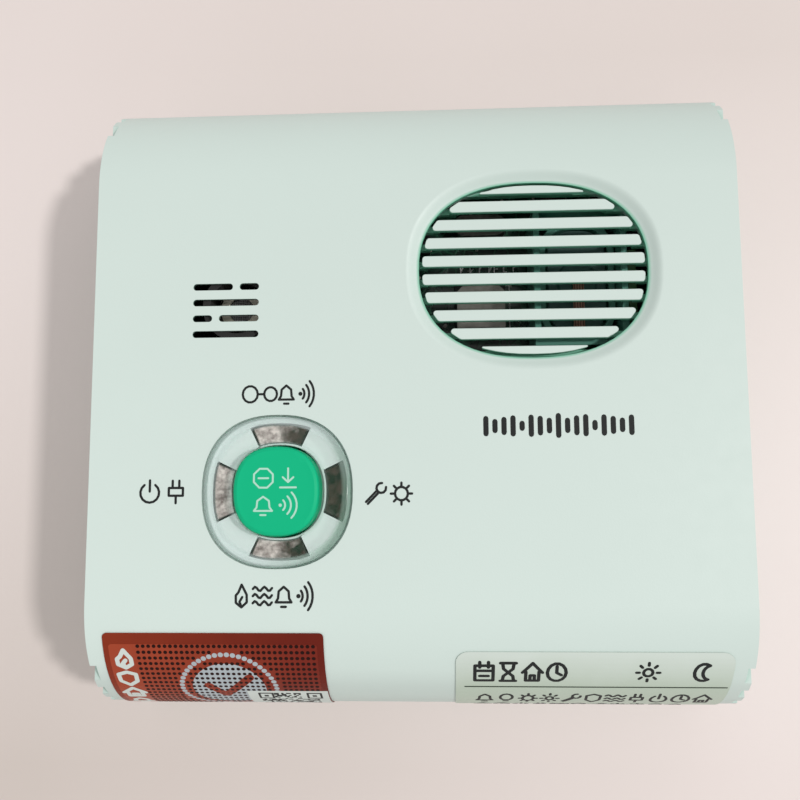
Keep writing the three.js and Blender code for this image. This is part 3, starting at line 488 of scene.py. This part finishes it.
def make_materials():
    """One material for each slot of the record."""
    return {
        # Each moulded plastic's second colour is painted shade in its gaps; the mint plastic also
        # has painted shade to the upper right and down its roll, and painted light and shade in its
        # pockets.
        "mint_plastic": moulded("mint_plastic", MINT, MINT_SHADE, 0.5, specks=SPECK_PITCH,
                                far=0.89, pockets=POCKET_LIGHT_AND_SHADE),
        "white_plastic": moulded("white_plastic", (0.78, 0.79, 0.76), (0.4, 0.41, 0.4)),
        "green_plastic": moulded("green_plastic", (0.004, 0.44, 0.21), (0.002, 0.2, 0.1), 0.45,
                                 specular=0.12),
        "clear_plastic": clear_plastic(),
        "led_resin": resin("led_resin", (0.92, 0.93, 0.9)),
        "silver_plastic": smoky_lens(),
        "black_plastic": moulded("black_plastic", (0.02, 0.02, 0.022), (0.01, 0.01, 0.01), 0.45),
        # The dark teal is painted shade over the mint plastic of the pocket behind the grille; the
        # speaker's frame shares it.
        "teal_plastic": moulded("teal_plastic", (0.085, 0.25, 0.195), (0.02, 0.08, 0.06), 0.4,
                                specular=0.3),
        "speaker_paper": moulded("speaker_paper", (0.03, 0.085, 0.075), (0.01, 0.04, 0.03), 0.6,
                                 grain=0.5, depth=0.05),
        "black_rubber": moulded("black_rubber", (0.02, 0.02, 0.02), (0.01, 0.01, 0.01), 0.75),
        "zinc_steel": metal("zinc_steel", (0.55, 0.55, 0.56), 0.32),
        # Partly painted shade: the nickel is darkened for the dim inside of the case.
        "nickel_can": metal("nickel_can", (0.30, 0.29, 0.265), 0.35, "X"),
        "sensor_mesh": woven("sensor_mesh", (0.3, 0.3, 0.3), 0.35),
        "transformer_iron": sheeted("transformer_iron", (0.2, 0.2, 0.21), (0.05, 0.05, 0.055),
                                    0.5, "Y", 0.05, 0.45, 0.8),
        "copper": sheeted("copper", (0.27, 0.15, 0.11), (0.10, 0.05, 0.035),
                          0.5, "X", 0.1, 0.35, 0.8),
        "circuit_board": circuit_board(),
        "yellow_film": film("yellow_film", (0.62, 0.43, 0.08)),
        "blue_sleeve": film("blue_sleeve", (0.03, 0.065, 0.22)),
        "blue_resin": film("blue_resin", (0.04, 0.15, 0.45), 0.4),
        "grey_sleeve": sheeted("grey_sleeve", (0.5, 0.5, 0.51), (0.25, 0.25, 0.26),
                               WIRE_PITCH, "X", 0.15, 0.5),
        "fuse_glass": resin("fuse_glass", (0.93, 0.96, 0.96), 0.05),
        "red_label": faded("red_label", "X", RED_ENDS,
                           (0.222, 0.027, 0.008), (0.125, 0.010, 0.004)),
        # Painted shade: the pale label darker lower down the roll.
        "pale_label": faded("pale_label", "Y", PALE_SHADE_ENDS,
                            (0.46, 0.54, 0.455), (0.585, 0.655, 0.61)),
    }


def make_inks():
    """The colours of what is printed on the case and the labels."""
    return {
        "black_ink": film("black_ink", (0.014, 0.016, 0.016), 0.5, 0.002, specular=0.2),
        "white_ink": film("white_ink", (0.60, 0.66, 0.63), 0.5, 0.002, 0.03, 0.2),
        "bright_ink": film("bright_ink", (0.95, 0.95, 0.93), 0.5, 0.002, 0.03, 0.2),
        "button_ink": film("button_ink", (0.42, 0.68, 0.57), 0.5, 0.002, 0.03, 0.2),
        "orange_ink": faded("orange_ink", "X", RED_ENDS,
                            (0.34, 0.055, 0.022), (0.17, 0.017, 0.008)),
        "brown_ink": film("brown_ink", (0.02, 0.004, 0.003), 0.45, 0.002, specular=0.1),
        "grey_ink": film("grey_ink", (0.42, 0.47, 0.50), 0.45, 0.002, 0.1, 0.2),
        "green_line_ink": film("green_line_ink", (0.02, 0.035, 0.02), 0.5, 0.002, specular=0.2),
    }


# ---------- CAD parts ----------

# How far the edges of a part are rounded, in millimetres; the rest have EDGE_ROUNDING.
ROUNDING = {
    "front_cover": 0.04,
    "grille_insert": 0.08,
    "rear_case": 0.3,
    "mounting_plate": 0.4,
    "button_cap": 0.12,
    "indicator_ring": 0.12,
}
EDGE_ROUNDING = 0.1

# Parts with edges so fine and close that they are only eased.
FINE = ("front_cover", "grille_insert")

# Corners nearer than this are one, in millimetres. Faces that turn less than the first angle are
# one flat face, and an edge that turns more than the second is rounded, in degrees.
SAME_CORNER = 0.002
FLAT_ANGLE = 0.6
EDGE_ANGLE = 32


def finish_cad_part(node, material):
    """The part's material, smooth curved faces and rounded edges."""
    part = frame["nodes"][node]
    part.data.materials.clear()
    part.data.materials.append(material)
    normals = part.data.attributes.get("custom_normal")
    if normals is not None:
        part.data.attributes.remove(normals)
    part.data.shade_smooth()
    weld = part.modifiers.new("weld", "WELD")
    weld.merge_threshold = SAME_CORNER * MM
    if node not in FINE:
        flat = part.modifiers.new("flat_faces", "DECIMATE")
        flat.decimate_type = "DISSOLVE"
        flat.angle_limit = math.radians(FLAT_ANGLE)
    bevel = part.modifiers.new("round_edges", "BEVEL")
    bevel.width = ROUNDING.get(node, EDGE_ROUNDING) * MM
    bevel.segments = 1 if node in FINE else 2
    bevel.limit_method = "ANGLE"
    bevel.angle_limit = math.radians(EDGE_ANGLE)
    bevel.use_clamp_overlap = node not in ROUNDING
    bevel.harden_normals = True
    weighted = part.modifiers.new("flat_shading", "WEIGHTED_NORMAL")
    weighted.keep_sharp = True


def finish_cad_parts(materials):
    """Each part takes its slot's material, but three have one of their own.

    The rear case has no painted light and shade in pockets, the speaker's board is paler and the
    sensor's can brighter.
    """
    own = {
        "rear_case": moulded("case_plastic", MINT, MINT_SHADE, 0.5, specks=SPECK_PITCH),
        "speaker_board": film("pale_board", (0.07, 0.21, 0.07), 0.4),
        "gas_sensor_cap": metal("gas_sensor_cap", (0.72, 0.70, 0.58), 0.4),
    }
    slots = {part["node"]: part["material_slot"] for part in frame["record"]["subparts"]}
    for node, slot in slots.items():
        finish_cad_part(node, own.get(node, materials[slot]))


# ---------- prints and labels ----------

# Icons are drawn on a square grid with this many steps each way.
GRID = 10


class Drawing:
    """Flat shapes in millimetres. Icons are drawn on a grid that at() places."""

    def __init__(self, pen=0.4):
        self.shapes = []
        self.plain(pen)

    def at(self, x0, y0, x1, y1, pen):
        """Put the grid between two corners; pen is a stroke's width in millimetres."""
        self.corner = Vector((x0, y0))
        self.scale = Vector(((x1 - x0) / GRID, (y1 - y0) / GRID))
        self.pen = pen
        return self

    def plain(self, pen):
        """Make each step of the grid a millimetre."""
        return self.at(0, 0, GRID, GRID, pen)

    def spot(self, point):
        x = self.corner.x + point[0] * self.scale.x
        return Vector((x, self.corner.y + point[1] * self.scale.y))

    def polygon(self, points):
        """A filled shape; its points go round anticlockwise."""
        self.shapes.append([self.spot(point) for point in points])
        return self

    def box(self, x0, y0, x1, y1):
        return self.polygon([(x0, y0), (x1, y0), (x1, y1), (x0, y1)])

    def disc(self, point, radius, sides=12):
        """A filled round spot; its radius is in millimetres."""
        centre = self.spot(point)
        turns = [2 * math.pi * i / sides for i in range(sides)]
        self.shapes.append([centre + radius * Vector((math.cos(t), math.sin(t))) for t in turns])
        return self

    def line(self, *points, closed=False):
        """A pen stroke with round ends and corners."""
        spots = [self.spot(point) for point in points]
        if closed:
            spots.append(spots[0])
        half = self.pen / 2
        for start, end in zip(spots, spots[1:]):
            heading = (end - start).normalized()
            side = Vector((-heading.y, heading.x)) * half
            outline = []
            for centre, across, forward in ((end, -side, heading), (start, side, -heading)):
                for i in range(5):
                    turn = math.pi * i / 4
                    outline.append(centre + across * math.cos(turn)
                                   + forward * half * math.sin(turn))
            self.shapes.append(outline)
        return self

    def arc(self, point, radius, first, last, steps=10):
        """A stroke along part of a circle; its angles are in degrees."""
        turns = [math.radians(first + (last - first) * i / steps) for i in range(steps + 1)]
        spots = [(point[0] + radius * math.cos(t), point[1] + radius * math.sin(t)) for t in turns]
        return self.line(*spots)

    def ring(self, point, radius, steps=14):
        """A stroke all round a circle."""
        return self.arc(point, radius, 0, 360, steps)


def draw_molecule(art):
    """Two joined atoms; the second stands right of the grid."""
    art.ring((4.2, 5), 4).ring((15, 5), 3.4).line((8.2, 5), (11.6, 5))


def draw_bell(art):
    art.line((0.9, 2.4), (2.1, 4), (2.4, 7), (5, 8.9), (7.6, 7), (7.9, 4), (9.1, 2.4), closed=True)
    art.line((3.8, 0.5), (6.2, 0.5))


def draw_sound(art):
    art.disc((1.6, 5), 0.9 * art.pen)
    for radius in (3.2, 5.8, 8.4):
        art.arc((0.6, 5), radius, -44, 44, 7)


def draw_flame(art):
    art.line((5.2, 9.8), (7.9, 5.6), (8, 2.4), (5.2, 0.3), (2.3, 2.2), (2.2, 5.2), (3.6, 6.6),
             closed=True)
    art.line((5.2, 0.6), (4.2, 2.6), (5.6, 4.6))


def draw_waves(art):
    for level in (2, 5, 8):
        art.line(*[(x, level + 0.9 * math.sin(x * 1.3)) for x in range(0, 11, 1)])


def draw_power(art):
    art.arc((5, 4.6), 4, 125, 415, 12).line((5, 5.2), (5, 9.8))


def draw_plug(art):
    art.line((2, 3.4), (8, 3.4), (8, 6.6), (2, 6.6), closed=True)
    art.line((3.6, 6.6), (3.6, 9.6)).line((6.4, 6.6), (6.4, 9.6)).line((5, 3.4), (5, 0.3))


def draw_wrench(art):
    art.line((0.8, 1.6), (5.4, 6.2)).line((1.6, 0.8), (6.2, 5.4))
    art.arc((7.4, 7.4), 2.1, 80, 370, 8)


def draw_rays(art, near, far):
    """Eight short strokes that point away from the middle of the grid."""
    for i in range(8):
        turn = math.pi * i / 4
        reach = Vector((math.cos(turn), math.sin(turn)))
        art.line(Vector((5, 5)) + reach * near, Vector((5, 5)) + reach * far)


def draw_gear(art):
    draw_rays(art.ring((5, 5), 2.8), 3.4, 4.6)


def draw_sun(art):
    draw_rays(art.ring((5, 5), 1.9, 10), 3.5, 4.7)


def draw_moon(art):
    art.arc((4.6, 5), 4.3, 55, 305, 10).arc((7.8, 5), 3.6, 103, 257, 8)


def draw_calendar(art):
    art.line((0.8, 0.8), (9.2, 0.8), (9.2, 8.2), (0.8, 8.2), closed=True)
    art.line((0.8, 5.8), (9.2, 5.8)).line((3, 7.4), (3, 9.8)).line((7, 7.4), (7, 9.8))
    art.line((3, 3.2), (7, 3.2))


def draw_hourglass(art):
    art.line((1.4, 9.4), (8.6, 9.4)).line((1.4, 0.6), (8.6, 0.6))
    art.line((2.4, 9.4), (2.8, 6.8), (7.2, 3.2), (7.6, 0.6))
    art.line((7.6, 9.4), (7.2, 6.8), (2.8, 3.2), (2.4, 0.6))


def draw_clock(art):
    art.ring((5, 5), 4.3).line((5, 8), (5, 5), (7.2, 3.8))


def draw_house(art):
    art.line((0.4, 5), (5, 9.4), (9.6, 5)).line((2, 5.4), (2, 0.8), (8, 0.8), (8, 5.4))
    art.line((4, 0.8), (4, 3.6), (6, 3.6), (6, 0.8))


def draw_shield(art):
    art.line((5, 0.4), (1.6, 3.4), (1.4, 8), (5, 9.4), (8.6, 8), (8.4, 3.4), closed=True)


def draw_lamp(art):
    art.arc((5, 6), 3.2, -50, 230, 10).line((3.6, 2.8), (6.4, 2.8)).line((4, 1), (6, 1))


def draw_stop(art):
    """An octagon with a bar in it."""
    turns = [math.radians(t) for t in range(22, 360, 45)]
    art.line(*[(5 + 4.6 * math.cos(t), 5 + 4.6 * math.sin(t)) for t in turns], closed=True)
    art.line((2.8, 5), (7.2, 5))


def draw_press(art):
    """An arrow down on to a line."""
    art.line((5, 9.4), (5, 3.2)).line((2.6, 5.4), (5, 3.2), (7.4, 5.4)).line((1.4, 0.8), (8.6, 0.8))


def draw_row(art, icons, x0, x1, y0, y1, pen, fill=0.9):
    """Icons side by side between x0 and x1; fill is how much of its share each one takes."""
    cell = (x1 - x0) / len(icons)
    for i, icon in enumerate(icons):
        left = x0 + cell * (i + (1 - fill) / 2)
        icon(art.at(left, y0, left + cell * fill, y1, pen))
    return art


def on_front(x, y, height):
    """A point above the face, or above the bottom roll once y is past the flat part.

    y is then measured along the roll, as on a flat label before it is stuck on.
    """
    turn = (-y - ROLL_Y) / ROLL_RADIUS
    if turn <= 0:
        return Vector((x, y, FACE_Z + height)) * MM
    radius = ROLL_RADIUS + height
    return Vector((x, -ROLL_Y - radius * math.sin(turn), ROLL_Z + radius * math.cos(turn))) * MM


def on_button(x, y, height):
    """A point above the button's dish; x and y start at its middle."""
    return Vector((BUTTON_MID.x + x, BUTTON_MID.y + y, BUTTON_TOP - BUTTON_DISH + height)) * MM


def on_board(x, y, height):
    return Vector((x, y, BOARD_TOP + height)) * MM


# Corners of a drawing nearer than this are one, in millimetres. A print on the roll bends at every
# step of this many degrees.
SAME_SPOT = 1e-4
ROLL_STEP = 3


def union(shapes):
    """The corners and faces of flat shapes joined into one, without overlaps."""
    spots = [spot for shape in shapes for spot in shape]
    ends = [sum(len(shape) for shape in shapes[:i]) for i in range(len(shapes) + 1)]
    loops = [list(range(start, end)) for start, end in zip(ends, ends[1:])]
    points, _, faces, _, _, sources = delaunay_2d_cdt(spots, [], loops, 0, SAME_SPOT)
    return points, [face for face, covers in zip(faces, sources) if covers]


def print_piece(name, art, low, high, place, material, slot, body="housing"):
    """The drawing as a thin layer from low to high above the surface that place stands for."""
    spots, faces = union(art.shapes)
    mesh = bmesh.new()
    verts = [mesh.verts.new((*spot, low)) for spot in spots]
    for face in faces:
        mesh.faces.new([verts[i] for i in face])
    loose = [vert for vert in verts if not vert.link_faces]
    bmesh.ops.delete(mesh, geom=loose, context="VERTS")
    bottom = min(vert.co.y for vert in mesh.verts)
    level = -ROLL_Y
    while place is on_front and level > bottom:
        everything = mesh.verts[:] + mesh.edges[:] + mesh.faces[:]
        bmesh.ops.bisect_plane(mesh, geom=everything, plane_co=(0, level, 0), plane_no=(0, 1, 0))
        level -= ROLL_RADIUS * math.radians(ROLL_STEP)
    grown = bmesh.ops.extrude_face_region(mesh, geom=mesh.faces[:], use_keep_orig=True)
    for item in grown["geom"]:
        if isinstance(item, bmesh.types.BMVert):
            item.co.z = high
    for vert in mesh.verts:
        vert.co = place(*vert.co)
    bmesh.ops.recalc_face_normals(mesh, faces=mesh.faces[:])
    data = bpy.data.meshes.new(name)
    mesh.to_mesh(data)
    mesh.free()
    data.materials.append(material)
    piece = bpy.data.objects.new(name, data)
    bpy.context.scene.collection.objects.link(piece)
    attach(piece, body)
    return piece


def rounded_sheet(x0, y0, x1, y1, radius):
    """A rectangle with round corners, as one shape."""
    spots = []
    for cx, cy, first in ((x1 - radius, y0 + radius, -90), (x1 - radius, y1 - radius, 0),
                          (x0 + radius, y1 - radius, 90), (x0 + radius, y0 + radius, 180)):
        for i in range(6):
            turn = math.radians(first + 18 * i)
            spots.append((cx + radius * math.cos(turn), cy + radius * math.sin(turn)))
    return Drawing().polygon(spots)


# The layers of a print and of a label, in millimetres above the case.
PRINT = (0.0, 0.03)
LABEL = (0.06, 0.22)
LABEL_INK = (0.20, 0.245)
LABEL_INK_2 = (0.20, 0.26)
LABEL_INK_3 = (0.20, 0.275)
LABEL_INK_4 = (0.20, 0.278)

# Rows of icons around the ring: the icons, left, right, bottom and top from the ring's middle,
# the pen, and how much of its share each icon takes.
SIGN_ROWS = (
    ((draw_molecule,), -6.6, -3.1, 15.9, 19.7, 0.42, 1.0),
    ((draw_bell, draw_sound), -0.3, 7.2, 15.8, 19.8, 0.42, 0.9),
    ((draw_flame, draw_waves, draw_bell, draw_sound), -8.2, 7.2, -20.8, -16.6, 0.44, 0.9),
    ((draw_power, draw_plug), -25.9, -16.2, -2.2, 2.2, 0.44, 0.9),
    ((draw_wrench, draw_gear), 15.7, 25.0, -2.7, 1.6, 0.44, 0.9),
)

# The same from the button's middle.
BUTTON_ROWS = (
    ((draw_stop, draw_press), -4.5, 4.5, 0.35, 4.35, 0.34, 0.9),
    ((draw_bell, draw_sound), -4.5, 4.5, -4.45, -0.55, 0.34, 0.9),
)


def draw_rows(rows, x, y):
    """Rows of icons around a point."""
    art = Drawing()
    for icons, left, right, low, high, pen, fill in rows:
        draw_row(art, icons, x + left, x + right, y + low, y + high, pen, fill)
    return art


def make_signs(inks):
    """The signs around the ring, the bars under the grille and the sign on the button."""
    signs = draw_rows(SIGN_ROWS, RING_MID.x, RING_MID.y)
    print_piece("signs", signs, *PRINT, on_front, inks["black_ink"], "black_plastic")

    bars = Drawing(pen=0.95)
    count, pitch, level, shortest, longest = 17, 1.63, -7.6, 0.45, 1.35
    last = count - 1
    for i in range(count):
        x = GRILLE_MID.x + 3.8 + (i - last / 2) * pitch
        taper = 1 - 0.3 * abs(i - 8) / 8
        reach = shortest + longest * abs(math.cos(i * 1.18)) * taper
        bars.line((x, level - reach), (x, level + reach))
    print_piece("sound_bars", bars, *PRINT, on_front, inks["black_ink"], "black_plastic")

    sign = draw_rows(BUTTON_ROWS, 0, 0)
    print_piece("button_sign", sign, *PRINT, on_button, inks["button_ink"], "white_plastic",
                body="button")


# The white marks on the circuit board: a row of strokes, and an outline with this path.
MARKS_LEFT, MARKS_RIGHT = 9.4, 21.5
MARKS_LOW, MARKS_HIGH = 27.1, 28.5
OUTLINE = ((7.2, 11.6), (7.2, 12.9), (19.6, 12.9), (19.6, 24.1), (17.6, 24.1))


def make_board_marks(inks):
    """White marks on the circuit board behind the grille: a row of short strokes and an outline."""
    art = Drawing()
    rng = random.Random(3)
    x = MARKS_LEFT
    while x < MARKS_RIGHT:
        art.at(x, MARKS_LOW, x + 0.9, MARKS_HIGH, 0.26)
        start, end = rng.choice((0, 5, 10)), rng.choice((0, 5, 10))
        art.line((0, 0), (0, GRID)).line((0, start), (7, end))
        x += rng.choice((1.1, 1.35, 2.0))
    art.plain(0.3).line(*OUTLINE)
    print_piece("board_marks", art, *PRINT, on_board, inks["bright_ink"], "white_plastic")


# The certification label, in millimetres: its left, bottom, right and top, the middle and
# radii of its ring of beads and its disc, and the top left corner of its checked box.
CERT_LEFT, CERT_LOW, CERT_RIGHT, CERT_TOP = -56.8, -69.2, -16.5, -44.4
RING_X, RING_Y = -34.8, -57.4
RING_RADIUS = 8.8
DISC_RADIUS = 6.85
BEADS = 50
BEAD_RADIUS = 0.5
BOX_LEFT, BOX_TOP, BOX_LOW = -31.75, -58.4, -68.8

# Its field of dots, and the cells in its box. Cells left of and above the last two numbers
# leave room for two square frames.
DOT_ROWS, DOT_COLUMNS = 17, 33
DOT_PITCH_X, DOT_PITCH_Y = 1.0, 1.23
DOT_RADIUS = 0.36
CELL = 0.46
CELL_ROWS, CELL_COLUMNS = 17, 24
FRAME_COLUMNS, FRAME_ROWS = (6, 16), 6


def draw_beads():
    """A disc inside a ring of beads."""
    art = Drawing()
    art.disc((RING_X, RING_Y), DISC_RADIUS, 40)
    for i in range(BEADS):
        turn = 2 * math.pi * i / BEADS
        bead = (RING_X + RING_RADIUS * math.cos(turn), RING_Y + RING_RADIUS * math.sin(turn))
        art.disc(bead, BEAD_RADIUS, 10)
    return art


def draw_dots():
    """Rows of dots that leave the ring of beads and the box free."""
    art = Drawing()
    for row in range(DOT_ROWS):
        for column in range(DOT_COLUMNS):
            x = CERT_LEFT + 6.4 + column * DOT_PITCH_X
            y = CERT_TOP - 2.5 - row * DOT_PITCH_Y
            on_ring = abs(math.hypot(x - RING_X, y - RING_Y) - RING_RADIUS) < 0.8
            in_box = x > BOX_LEFT - 0.4 and y < BOX_TOP + 0.4
            if not in_box and not on_ring:
                art.disc((x, y), DOT_RADIUS, 8)
    return art


def draw_side_icons():
    """Icons down the label's left side, and the white box."""
    art = Drawing()
    for i, icon in enumerate((draw_flame, draw_shield, draw_house, draw_bell)):
        high = CERT_TOP - 3.25 - i * 4.8
        icon(art.at(-55.5, high - 4.1, -51.0, high, 0.8))
    return art.plain(0.4).box(BOX_LEFT, BOX_LOW, CERT_RIGHT - 0.15, BOX_TOP)


def draw_checks():
    """Random cells that hold no data, and two square frames."""
    art = Drawing()
    rng = random.Random(7)
    left = BOX_LEFT + 2.1
    for row in range(CELL_ROWS):
        for column in range(CELL_COLUMNS):
            x, y = left + column * CELL, BOX_TOP - 1.2 - row * CELL
            beside_frames = FRAME_COLUMNS[0] <= column <= FRAME_COLUMNS[1] or row > FRAME_ROWS
            if beside_frames and rng.random() < 0.45:
                art.box(x, y, x + CELL, y + CELL)
    for x in (left, BOX_LEFT + 11.2):
        art.at(x, BOX_TOP - 3.4, x + 2.5, BOX_TOP - 0.9, 0.42)
        art.line((0, 0), (GRID, 0), (GRID, GRID), (0, GRID), closed=True).box(3.4, 3.4, 6.6, 6.6)
    return art


def make_certification_label(materials, inks):
    """A red label with a field of dots, a beaded ring round a tick, icons and a checked box."""
    sheet = rounded_sheet(CERT_LEFT, CERT_LOW, CERT_RIGHT, CERT_TOP, 0.8)
    piece = print_piece("certification_sheet", sheet, *LABEL, on_front,
                        materials["red_label"], "red_label")
    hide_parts("certification_label")

    panel = rounded_sheet(CERT_LEFT + 1.0, CERT_LOW + 0.3, CERT_RIGHT - 1.2, CERT_TOP - 2.1, 0.6)
    tick = Drawing(pen=1.7)
    tick.line((RING_X - 3.8, RING_Y + 1.0), (RING_X - 1.0, RING_Y - 2.4),
              (RING_X + 4.2, RING_Y + 3.4))
    for name, art, layer, ink, slot in (
            ("certification_panel", panel, LABEL_INK, "orange_ink", "red_label"),
            ("certification_ring", draw_beads(), LABEL_INK_2, "grey_ink", "white_plastic"),
            ("certification_tick", tick, LABEL_INK_3, "orange_ink", "red_label"),
            ("certification_dots", draw_dots(), LABEL_INK_3, "brown_ink", "black_plastic"),
            ("certification_icons", draw_side_icons(), LABEL_INK_3, "white_ink", "white_plastic"),
            ("certification_checks", draw_checks(), LABEL_INK_4, "black_ink", "black_plastic")):
        print_piece(name, art, *layer, on_front, inks[ink], slot)


# The date label's left, bottom, right and top, in millimetres.
DATE_LEFT, DATE_LOW, DATE_RIGHT, DATE_TOP = 7.1, -69.2, 56.3, -47.9

# Its rows of icons, as in SIGN_ROWS, with left and right from the label's left edge.
THIN_ICONS = (draw_bell, draw_lamp, draw_gear, draw_sun, draw_wrench, draw_shield,
              draw_waves, draw_plug, draw_power, draw_clock, draw_house)
DATE_ROWS = (
    ((draw_calendar, draw_hourglass, draw_house, draw_clock), 2.9, 20.2, -54.9, -49.9, 0.62, 0.9),
    ((draw_sun,), 32.0, 36.4, -54.7, -49.9, 0.55, 1.0),
    ((draw_moon,), 42.2, 46.0, -54.7, -49.9, 0.62, 1.0),
    (THIN_ICONS, 3.4, 47.3, -63.6, -58.8, 0.5, 0.9),
    (THIN_ICONS[::-1], 3.4, 43.3, -69.0, -65.0, 0.5, 0.9),
)
DATE_LINE_Y = -56.4


def make_date_label(materials, inks):
    """A pale film with a row of bold icons, a line and two rows of thin icons."""
    sheet = rounded_sheet(DATE_LEFT, DATE_LOW, DATE_RIGHT, DATE_TOP, 2.2)
    piece = print_piece("date_sheet", sheet, *LABEL, on_front,
                        materials["pale_label"], "pale_label")
    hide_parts("date_label")

    icons = draw_rows(DATE_ROWS, DATE_LEFT, 0)
    print_piece("date_icons", icons, *LABEL_INK, on_front, inks["black_ink"], "black_plastic")

    rule = Drawing(pen=0.3)
    rule.line((DATE_LEFT + 1.7, DATE_LINE_Y), (DATE_RIGHT - 0.5, DATE_LINE_Y))
    print_piece("date_line", rule, *LABEL_INK, on_front, inks["green_line_ink"], "black_plastic")


# ---------- room ----------

# The stretch of floor that the camera sees, in millimetres; a painted shade changes over it.
FLOOR_X = (-84, 76)
FLOOR_Y = (-78, 82)
FLOOR_SIZE = 2400
FLOOR_DROP = 0.05
FLOOR_SHADE = (0.58, 0.515, 0.48)
FLOOR_PALE = (0.787, 0.708, 0.694)


def make_floor():
    """A pale, faintly pink surface with painted shade, a little darker at the top and at the bottom
    left.
    """
    bpy.ops.mesh.primitive_plane_add(size=FLOOR_SIZE * MM, location=(0, 0, -FLOOR_DROP * MM))
    floor = bpy.context.object
    floor.name = "floor"
    look = Look("floor", FLOOR_PALE, 0.6)
    # Painted shade: the floor's tone falls towards the top and the bottom left.
    across = look.ranged(look.along("X", *FLOOR_X), 0, 1, -1, 1)
    away = look.ranged(look.along("Y", *FLOOR_Y), 0, 1, -1, 1)
    arch = look.math("MULTIPLY", away, look.ranged(away, -1, 1, 0.86, -0.54))
    slope = look.math("MULTIPLY", across, look.ranged(away, -1, 1, 0.76, -0.26))
    cloud = look.ranged(look.noise(120, 2), *CRISP, -0.12, 0.12)
    tone = look.sum_of(look.sum_of(arch, slope), cloud)
    look.colour(look.mixed(look.ranged(tone, -1.62, 0.38), FLOOR_SHADE, FLOOR_PALE))
    look.bump(look.noise(1.2, 4), 0.03, 0.4)
    floor.data.materials.append(look.material)


# The window's place, width and power, in metres and watts, and the strength of the room's bounce.
WINDOW_PLACE = (1.45, 0.0, 2.03)
WINDOW_WIDTH = 0.22
WINDOW_POWER = 30.0
WINDOW_COLOUR = (1.0, 0.985, 0.965)
ROOM_COLOUR = (1.0, 0.985, 0.97)
ROOM_STRENGTH = 0.72


def light_room():
    """A window at the upper right and the bounce of a pale room."""
    world = bpy.data.worlds.new("room")
    bpy.context.scene.world = world
    world.use_nodes = True
    background = world.node_tree.nodes["Background"]
    background.inputs["Color"].default_value = (*ROOM_COLOUR, 1)
    background.inputs["Strength"].default_value = ROOM_STRENGTH
    data = bpy.data.lights.new("window", "AREA")
    data.shape = "DISK"
    data.size = WINDOW_WIDTH
    data.energy = WINDOW_POWER
    data.color = WINDOW_COLOUR
    window = bpy.data.objects.new("window", data)
    window.location = WINDOW_PLACE
    window.rotation_euler = (-Vector(WINDOW_PLACE)).to_track_quat("-Z", "Y").to_euler()
    bpy.context.scene.collection.objects.link(window)
    bpy.context.scene.view_settings.view_transform = "Standard"


make_camera()
MATERIALS = make_materials()
INKS = make_inks()
finish_cad_parts(MATERIALS)
make_signs(INKS)
make_board_marks(INKS)
make_certification_label(MATERIALS, INKS)
make_date_label(MATERIALS, INKS)
make_floor()
light_room()
